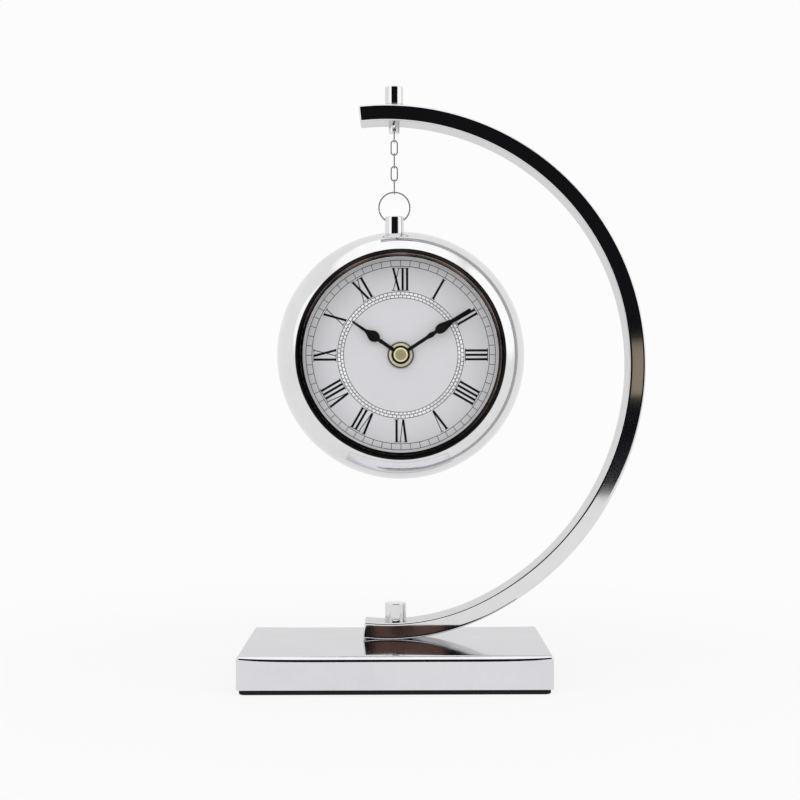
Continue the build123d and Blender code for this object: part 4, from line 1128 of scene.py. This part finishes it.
def hand_hub(size, name):
    """A flat ring with rounded outer edges, round the hand's hole."""
    hand, bore = box(f"{name}_hand"), getattr(size, f"{name}_bore")
    front, back = hand.low[1], hand.high[1]
    profile = [(bore, back, 0), (size.hub, back, 0.1 * MM), (size.hub, front, 0.1 * MM), (bore, front, 0)]
    return lathe(profile, box("dial_plate").middle, steps=4, around=80, closed=True)


def round_nut(size):
    """The bevelled round nut that clamps the dial."""
    back = box("dial_nut").high[1]
    front = back - size.nut_thickness
    profile = [
        (size.nut_bore, back, 0), (size.nut, back, 0.1 * MM), (size.nut, front + size.nut_bevel, 0.12 * MM),
        (size.nut - size.nut_bevel, front, 0.12 * MM), (size.nut_bore, front, 0.1 * MM),
    ]
    return lathe(profile, box("dial_plate").middle, steps=4, closed=True)


def hand_cap(size):
    """The low brass cap in the middle: a short wall, a sloping shoulder, a flat face with a shallow
    dish."""
    nut = box("hand_nut")
    front, back = nut.low[1], nut.high[1]
    profile = [
        (0, back, 0), (size.cap, back, 0.05 * MM), (size.cap, back - size.cap_wall, 0.15 * MM),
        (size.cap_face, front, 0.15 * MM), (size.cap_dish, front + size.cap_slope, 0.3 * MM),
        (0, front + size.cap_deep, 0),
    ]
    return lathe(profile, box("dial_plate").middle, steps=5, around=80)


def rear_plate(size):
    """A round plate with a square window: at each bearing the points run up the window's wall, out over
    the back, down the rim and in again, with a quarter circle at both outer edges. The window's outline
    at a bearing is its straight side, or near a corner the far point of the corner's circle on that
    ray."""
    plate = box("rear_cover")
    front, back = plate.low[1], plate.high[1]
    rim = (plate.high - plate.low)[0] / 2
    bearing = np.linspace(0, 2 * pi, 360, endpoint=False)
    c, s = np.cos(bearing), np.sin(bearing)
    straight = size.window / 2 / np.maximum(np.abs(c), np.abs(s))
    bend = size.window_corner
    inner = size.window / 2 - bend
    along = inner * (np.abs(c) + np.abs(s))
    curved = along + np.sqrt(np.maximum(along**2 - 2 * inner**2 + bend**2, 0))
    window = np.where(straight * np.minimum(np.abs(c), np.abs(s)) > inner, curved, straight)
    turn, edge = np.linspace(0, pi / 2, 6), size.edge
    rows = [(window, front)]
    rows += [(window + edge * (1 - cos(a)), back - edge * (1 - sin(a))) for a in turn]
    rows += [(window * (1 - part) + rim * part, back) for part in (0.2, 0.8)]
    rows += [(rim - edge * (1 - cos(a)), back - edge * (1 - sin(a))) for a in turn[::-1]]
    rows.append((rim, front))
    x, _, z = plate.middle
    return surface(np.stack([points(x + out * c, y, z + out * s) for out, y in rows]), close_rows=True)


def screw_spots(size):
    """Bearings of the screws, from the top round their circle, and their x and z."""
    x, _, z = box("rear_cover").middle
    bearings = pi / 2 + np.arange(size.screws) * 2 * pi / size.screws
    return bearings, x + size.screw_ring * np.cos(bearings), z + size.screw_ring * np.sin(bearings)


def screw_rods(size):
    """Round bars on the screws' axes through the plate, as wide as the holes for them."""
    plate, radius = box("rear_cover"), size.screw_shank + size.screw_gap
    front, back = plate.low[1] - MM, plate.high[1] + MM
    outline = np.array([(0, front), (radius, front), (radius, back), (0, back)])
    _, xs, zs = screw_spots(size)
    return [turned(outline, (x, 0, z), around=32) for x, z in zip(xs, zs)]


def pan_screws(size):
    """Turned screws: a shank, a flat seat, and a head whose rim follows a quarter circle into a low
    dome."""
    seat, tail = box("rear_cover").high[1], box("rear_cover_screws").low[1]
    top, head, shank = seat + size.screw_high, size.screw_head, size.screw_shank
    profile = [
        (0, tail, 0), (shank, tail, 0.2 * MM), (shank, seat, 0.05 * MM), (head, seat, 0.1 * MM),
        (head, top - 0.15 * MM, 0.6 * MM), (0.5 * head, top - 0.03 * MM, 0.4 * MM), (0, top, 0),
    ]
    _, xs, zs = screw_spots(size)
    return [lathe(profile, (x, 0, z), around=48) for x, z in zip(xs, zs)]


def screw_slots(size):
    """Straight slots across the heads, each square to its own bearing."""
    bearings, xs, zs = (some[:, None] for some in screw_spots(size))
    top = box("rear_cover").high[1] + size.screw_high
    a, b = np.array([-1, 1, 1, -1]) * size.screw_slot / 2, np.array([-1, -1, 1, 1]) * 3 * MM
    c, s = np.cos(bearings), np.sin(bearings)
    return prisms(xs + a * c - b * s, zs + a * s + b * c, top - size.screw_high / 2, top + MM)


def battery_cell(size):
    """A turned cell: a rolled edge at each end, a shallow groove under the shoulder and a button."""
    cell = box("battery")
    radius, foot, top = (cell.high - cell.low)[0] / 2, cell.low[2], cell.high[2]
    shoulder = top - size.button_high
    groove, half = shoulder - size.groove_down, size.groove_half
    profile = [
        (0, foot, 0), (radius, foot, 0.4 * MM), (radius, groove - half, 0.3 * MM),
        (radius - size.groove_deep, groove, 0.3 * MM), (radius, groove + half, 0.3 * MM),
        (radius, shoulder, 0.7 * MM), (size.button, shoulder, 0.15 * MM), (size.button, top, 0.35 * MM),
        (0, top, 0),
    ]
    return lathe(profile, cell.middle, "Z")


def fluted_knob(size):
    """A knob whose radius dips at each flute by a raised cosine; its rim follows a quarter circle and its
    top is slightly dished."""
    knob = box("setting_knob")
    radius, edge, back = (knob.high - knob.low)[0] / 2, size.knob_edge, knob.high[1]
    bearing = np.linspace(0, 2 * pi, size.flutes * 12, endpoint=False)
    dip = size.flute * (0.5 + 0.5 * np.cos(size.flutes * bearing)) ** 3
    turn, flat = np.linspace(0, pi / 2, 7), radius - size.knob_rim
    rows = [(radius, knob.low[1], 1.0)]
    rows += [(radius - edge * (1 - cos(a)), back - edge * (1 - sin(a)), 1.0) for a in turn]
    rows += [
        (flat, back, 0.3), (flat - 2 * size.knob_dish, back - size.knob_dish, 0),
        (1 * MM, back - 1.25 * size.knob_dish, 0),
    ]
    out, y, fluted = np.array(rows).T[..., None]
    reach = out - dip * fluted
    x, _, z = knob.middle
    return surface(points(x + reach * np.cos(bearing), y, z + reach * np.sin(bearing)), poles=True)


# Stage


# Softboxes and where they hang, in metres
SOFTBOXES = {
    "softbox_left": (-1.0, -0.9, 0.9), "softbox_right": (1.15, -0.5, 0.75), "softbox_top": (0.0, -0.1, 1.4),
    "softbox_front": (0.0, -1.5, 0.45),
}

# Bright round panels that only polished metal shows: middle, radius and strength
PANELS = {
    "panel_top": ((-0.05, -0.35, 1.40), 1.02, 1.3), "panel_right": ((1.30, -0.35, 0.80), 0.88, 1.3),
    "panel_left": ((-1.08, -0.86, 0.62), 0.60, 1.25),
}

# Patches of the unlit end, each over the ones before it: left, right, low, high, softness and colour
PATCHES = (
    (-2.0, 2.0, 0.0, 0.06, 0.05, (0.020, 0.020, 0.026)),
    (0.312, 0.348, 0.1345, 0.2077, 0.006, (0.33, 0.27, 0.20)),
    (-0.034, 0.062, 0.17, 0.28, 0.006, (0.15, 0.082, 0.068)),
    (-0.010, 0.018, 0.170, 0.222, 0.006, (0.012, 0.012, 0.012)),
)


def stage_sheet(name, corners, material):
    mesh = bpy.data.meshes.new(name)
    mesh.from_pydata(corners, [], [(0, 1, 2, 3)])
    mesh.materials.append(material)
    sheet = bpy.data.objects.new(name, mesh)
    bpy.context.scene.collection.objects.link(sheet)
    return sheet


def only_in_reflections(sheet):
    sheet.visible_camera = sheet.visible_diffuse = sheet.visible_shadow = sheet.visible_transmission = False


def seen(coat):
    """1 for what the camera sees straight, in a reflection or through glass, 0 for other light."""
    rays = ("Is Camera Ray", "Is Glossy Ray", "Is Transmission Ray")
    straight, mirrored, through = (coat.node("ShaderNodeLightPath", output=name) for name in rays)
    return (straight + mirrored + through).clamped()


def lay_floor(studio):
    """A pale floor that keeps the clock's shadow near it and turns to the background's white further
    out."""
    coat = Coat("pale_floor")
    out = coat.distance(stretch=(1, 1, 0))
    far = coat.drawn_out(out, studio.shadow_near, studio.shadow_far, studio.shadow_left)
    matt = coat.skin(Base_Color=(0.82, 0.82, 0.82), Roughness=0.7, Specular_IOR_Level=0.2)
    paint = coat.done(coat.mix(seen(coat) * far, matt, coat.glow((studio.white,) * 3)))
    corners = [(*spot, 0) for spot in (-QUARTERS * studio.floor / 2).tolist()]
    stage_sheet("floor", corners, paint)


def dark_end(studio):
    """The unlit end of the room behind the camera, which only polished metal shows: nearly black, with a
    tan patch and a brown one."""
    coat = Coat("dark_end")
    across, up = coat.axis("X"), coat.axis("Z")
    tone = (0.008, 0.008, 0.010)
    for left, right, low, high, soft, colour in PATCHES:
        inside = [
            ((value - edge) * (sign / soft) + 0.5).clamped()
            for value, edge, sign in ((across, left, 1), (across, right, -1), (up, low, 1), (up, high, -1))
        ]
        tone = coat.blend(inside[0] * inside[1] * inside[2] * inside[3], tone, colour)
    far, half, high = studio.dark_far, studio.dark_half, studio.dark_high
    corners = [(-half, -far, 0.0), (half, -far, 0.0), (half, -far, high), (-half, -far, high)]
    only_in_reflections(stage_sheet("dark_end", corners, coat.done(coat.glow(tone))))


def soft_panel(studio, name, centre, radius, strength):
    """A bright round sheet that fades out over the outer third of its radius and faces the clock."""
    coat = Coat(name)
    out = coat.distance(centre, (1, 1, 1))
    shine = coat.drawn_out(out, 0.66 * radius, radius, 1.0, 0.0)
    clear = coat.node("ShaderNodeBsdfTransparent")
    paint = coat.done(coat.mix(shine, clear, coat.glow((1.0, 1.0, 1.0), strength)))
    spot = Vector(centre)
    away = (spot - Vector((0.0, 0.0, studio.panel_aim))).normalized()
    right = away.cross(Vector((0.0, 1.0, 0.0))).normalized() * radius
    up = right.cross(away).normalized() * radius
    corners = [spot - right - up, spot + right - up, spot + right + up, spot - right + up]
    only_in_reflections(stage_sheet(name, corners, paint))


def light_room(world, studio):
    """An even white room: full white where it is seen, softer as light."""
    coat = Coat(world)
    strength = studio.fill + seen(coat) * (1.0 - studio.fill)
    glow = coat.node("ShaderNodeBackground", {}, {"Color": (studio.white,) * 3, "Strength": strength})
    coat.node("ShaderNodeOutputWorld", {}, {"Surface": glow})


def hang_softbox(studio, name, place):
    """A square lamp that faces the clock and shows in no reflection."""
    lamp = bpy.data.lights.new(name, "AREA")
    lamp.shape, lamp.size, lamp.energy = "SQUARE", studio.box_side, studio.box_power
    holder = bpy.data.objects.new(name, lamp)
    holder.visible_glossy = False
    holder.location = place
    towards = Vector((0.0, 0.0, studio.box_aim)) - Vector(place)
    holder.rotation_euler = towards.to_track_quat("-Z", "Y").to_euler()
    bpy.context.scene.collection.objects.link(holder)


def set_camera(scene, studio):
    lens = bpy.data.cameras.new("camera")
    lens.lens, lens.sensor_width, lens.clip_start, lens.clip_end = studio.lens, 36.0, 0.01, 50.0
    camera = bpy.data.objects.new("camera", lens)
    camera.location = (studio.camera_x, studio.camera_y, studio.camera_z)
    camera.rotation_euler = (pi / 2, studio.roll, 0.0)
    scene.collection.objects.link(camera)
    scene.camera = camera


# Operators


class CLOCK_OT_finishes(bpy.types.Operator):
    """Makes every finish and gives the carried-over nodes theirs"""

    bl_idname = "clock.finishes"
    bl_label = "Finishes"

    def execute(self, context):
        make_finishes(context.scene.clock_finish)
        for finish, nodes in CARRIED.items():
            for node in nodes:
                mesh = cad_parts[node].data
                mesh.materials.clear()
                mesh.materials.append(bpy.data.materials[finish])
        return {"FINISHED"}


class CLOCK_OT_base(bpy.types.Operator):
    """Builds the base's polished cover and the foam pad under it"""

    bl_idname = "clock.base"
    bl_label = "Base and pad"

    def execute(self, context):
        size = context.scene.clock_base
        put("base_cover", [base_cover(size)], "polished_base", "stand", ["base_shell"], 50)
        put("foam_pad", [foam_pad(size)], "foam_pad", "stand", ["base_pad"], 50)
        return {"FINISHED"}


class CLOCK_OT_arch(bpy.types.Operator):
    """Builds the flat polished bar bent to a C"""

    bl_idname = "clock.arch"
    bl_label = "Arch"

    def execute(self, context):
        bar = [arch_sweep(context.scene.clock_arch)]
        put("arch", bar, "polished_arch", "stand", ["arch_bar"], 50)
        return {"FINISHED"}


class CLOCK_OT_hanger(bpy.types.Operator):
    """Builds the two cap nuts and the slotted hanger"""

    bl_idname = "clock.hanger"
    bl_label = "Cap nuts and hanger"

    def execute(self, context):
        size = context.scene.clock_hanger
        pieces = {
            "foot_cap_nut": ("low_cap_nut", [cap_nut(size, "low_cap_nut")]),
            "arch_cap_nut": ("top_cap_nut", [cap_nut(size, "top_cap_nut")]),
            "hanger": ("hanger_clevis", [hanger_post(size), hanger_prong(size, 1), hanger_prong(size, -1)]),
        }
        for name, (node, shapes) in pieces.items():
            put(name, shapes, "polished_posts", "stand", [node])
        return {"FINISHED"}


class CLOCK_OT_chain(bpy.types.Operator):
    """Builds the five links and the ring of plated wire"""

    bl_idname = "clock.chain"
    bl_label = "Chain and ring"

    def execute(self, context):
        size = context.scene.clock_chain
        for number in range(1, 6):
            name, link = f"wire_link_{number}", [chain_link(size, number)]
            put(name, link, "plated_wire", f"chain_{number}", [f"link_{number}"], 60)
        put("wire_ring", [hanging_ring(size)], "plated_wire", "ring", ["hanging_ring"], 60)
        return {"FINISHED"}


class CLOCK_OT_case(bpy.types.Operator):
    """Builds the bulging case, its dark bezel and the crown on top"""

    bl_idname = "clock.case"
    bl_label = "Case, bezel and crown"

    def execute(self, context):
        size = context.scene.clock_case
        put("case", [case_ring(size)], "polished_case", "head", ["case_shell"])
        put("bezel", [bezel(size)], "dark_bezel", "head", ["bezel_ring"], 50)
        crown = put("crown_post", [crown_post(size)], "polished_posts", "head", ["crown"])
        cut(crown, [cross_drill(size)])
        return {"FINISHED"}


class CLOCK_OT_dial(bpy.types.Operator):
    """Prints the numerals, the minute track and the ring of small bricks on the dial"""

    bl_idname = "clock.dial"
    bl_label = "Dial printing"

    def execute(self, context):
        size = context.scene.clock_dial
        outer, mid, inner = size.bricks_out, size.bricks_mid, size.bricks_in
        track = [printed_circle(size, size.track_out), printed_circle(size, size.track_in)]
        track.append(printed_bars(size, size.track_in, size.track_out, 60))
        rows = [printed_circle(size, radius) for radius in (outer, mid, inner)]
        rows.append(printed_bars(size, mid, outer, size.bricks))
        rows.append(printed_bars(size, inner, mid, size.bricks, 0.5))
        band = [printed_circle(size, (inner + outer) / 2, outer - inner, 0.4)]
        put("numerals", [numerals(size)], "dial_ink", "head")
        put("minute_track", track, "fine_ink", "head")
        put("brick_band", band, "pale_print", "head")
        put("brick_ring", rows, "fine_ink", "head")
        return {"FINISHED"}


class CLOCK_OT_hands(bpy.types.Operator):
    """Builds the two hands, the cap in their middle and the round nut behind them"""

    bl_idname = "clock.hands"
    bl_label = "Hands"

    def execute(self, context):
        size = context.scene.clock_hands
        for body in ("hour", "minute"):
            shapes = [hand_blade(size, body), hand_hub(size, body)]
            put(f"{body}_blade", shapes, "hand_lacquer", body, [f"{body}_hand"], 60)
        put("hand_cap", [hand_cap(size)], "cap_brass", "minute", ["hand_nut"])
        put("round_nut", [round_nut(size)], "nut_brass", "head", ["dial_nut"])
        return {"FINISHED"}


class CLOCK_OT_back(bpy.types.Operator):
    """Builds the rear cover and its screws, the battery and the setting knob"""

    bl_idname = "clock.back"
    bl_label = "Back of the head"

    def execute(self, context):
        size = context.scene.clock_back
        black, white = "black_plastic", "white_plastic"
        plate = put("rear_plate", [rear_plate(size)], black, "head", ["rear_cover"])
        cut(plate, screw_rods(size))
        screws = put("pan_screws", pan_screws(size), "zinc", "head", ["rear_cover_screws"])
        cut(screws, [screw_slots(size)])
        put("battery_cell", [battery_cell(size)], "cell_skin", "head", ["battery"])
        put("fluted_knob", [fluted_knob(size)], white, "setting", ["setting_knob"])
        return {"FINISHED"}


class CLOCK_OT_studio(bpy.types.Operator):
    """Sets out the floor, the dark end of the room, the soft lights and the camera"""

    bl_idname = "clock.studio"
    bl_label = "Studio"

    def execute(self, context):
        studio, scene = context.scene.clock_studio, context.scene
        scene.view_settings.view_transform = "Standard"
        scene.world = scene.world or bpy.data.worlds.new("room")
        lay_floor(studio)
        dark_end(studio)
        light_room(scene.world, studio)
        for name, place in SOFTBOXES.items():
            hang_softbox(studio, name, place)
        for name, panel in PANELS.items():
            soft_panel(studio, name, *panel)
        set_camera(scene, studio)
        return {"FINISHED"}


class CLOCK_PT_panel(bpy.types.Panel):
    """Lists the clock's pieces in the sidebar"""

    bl_label = "Hanging desk clock"
    bl_idname = "CLOCK_PT_panel"
    bl_space_type = "VIEW_3D"
    bl_region_type = "UI"
    bl_category = "Clock"

    def draw(self, context):
        for step in STEPS:
            self.layout.operator(step.bl_idname)
        for key, group in GROUPS:
            sizes, section = getattr(context.scene, key), self.layout.box()
            for name in group.__annotations__:
                section.prop(sizes, name)


STEPS = (
    CLOCK_OT_finishes, CLOCK_OT_base, CLOCK_OT_arch, CLOCK_OT_hanger, CLOCK_OT_chain, CLOCK_OT_case,
    CLOCK_OT_dial, CLOCK_OT_hands, CLOCK_OT_back, CLOCK_OT_studio,
)


def register():
    for key, group in GROUPS:
        bpy.utils.register_class(group)
        setattr(bpy.types.Scene, key, PointerProperty(type=group))
    for step in (*STEPS, CLOCK_PT_panel):
        bpy.utils.register_class(step)


def unregister():
    for step in (CLOCK_PT_panel, *reversed(STEPS)):
        bpy.utils.unregister_class(step)
    for key, group in reversed(GROUPS):
        delattr(bpy.types.Scene, key)
        bpy.utils.unregister_class(group)


def main():
    register()
    for step in STEPS:
        getattr(bpy.ops.clock, step.bl_idname.split(".")[1])()


if __name__ == "__main__":
    main()
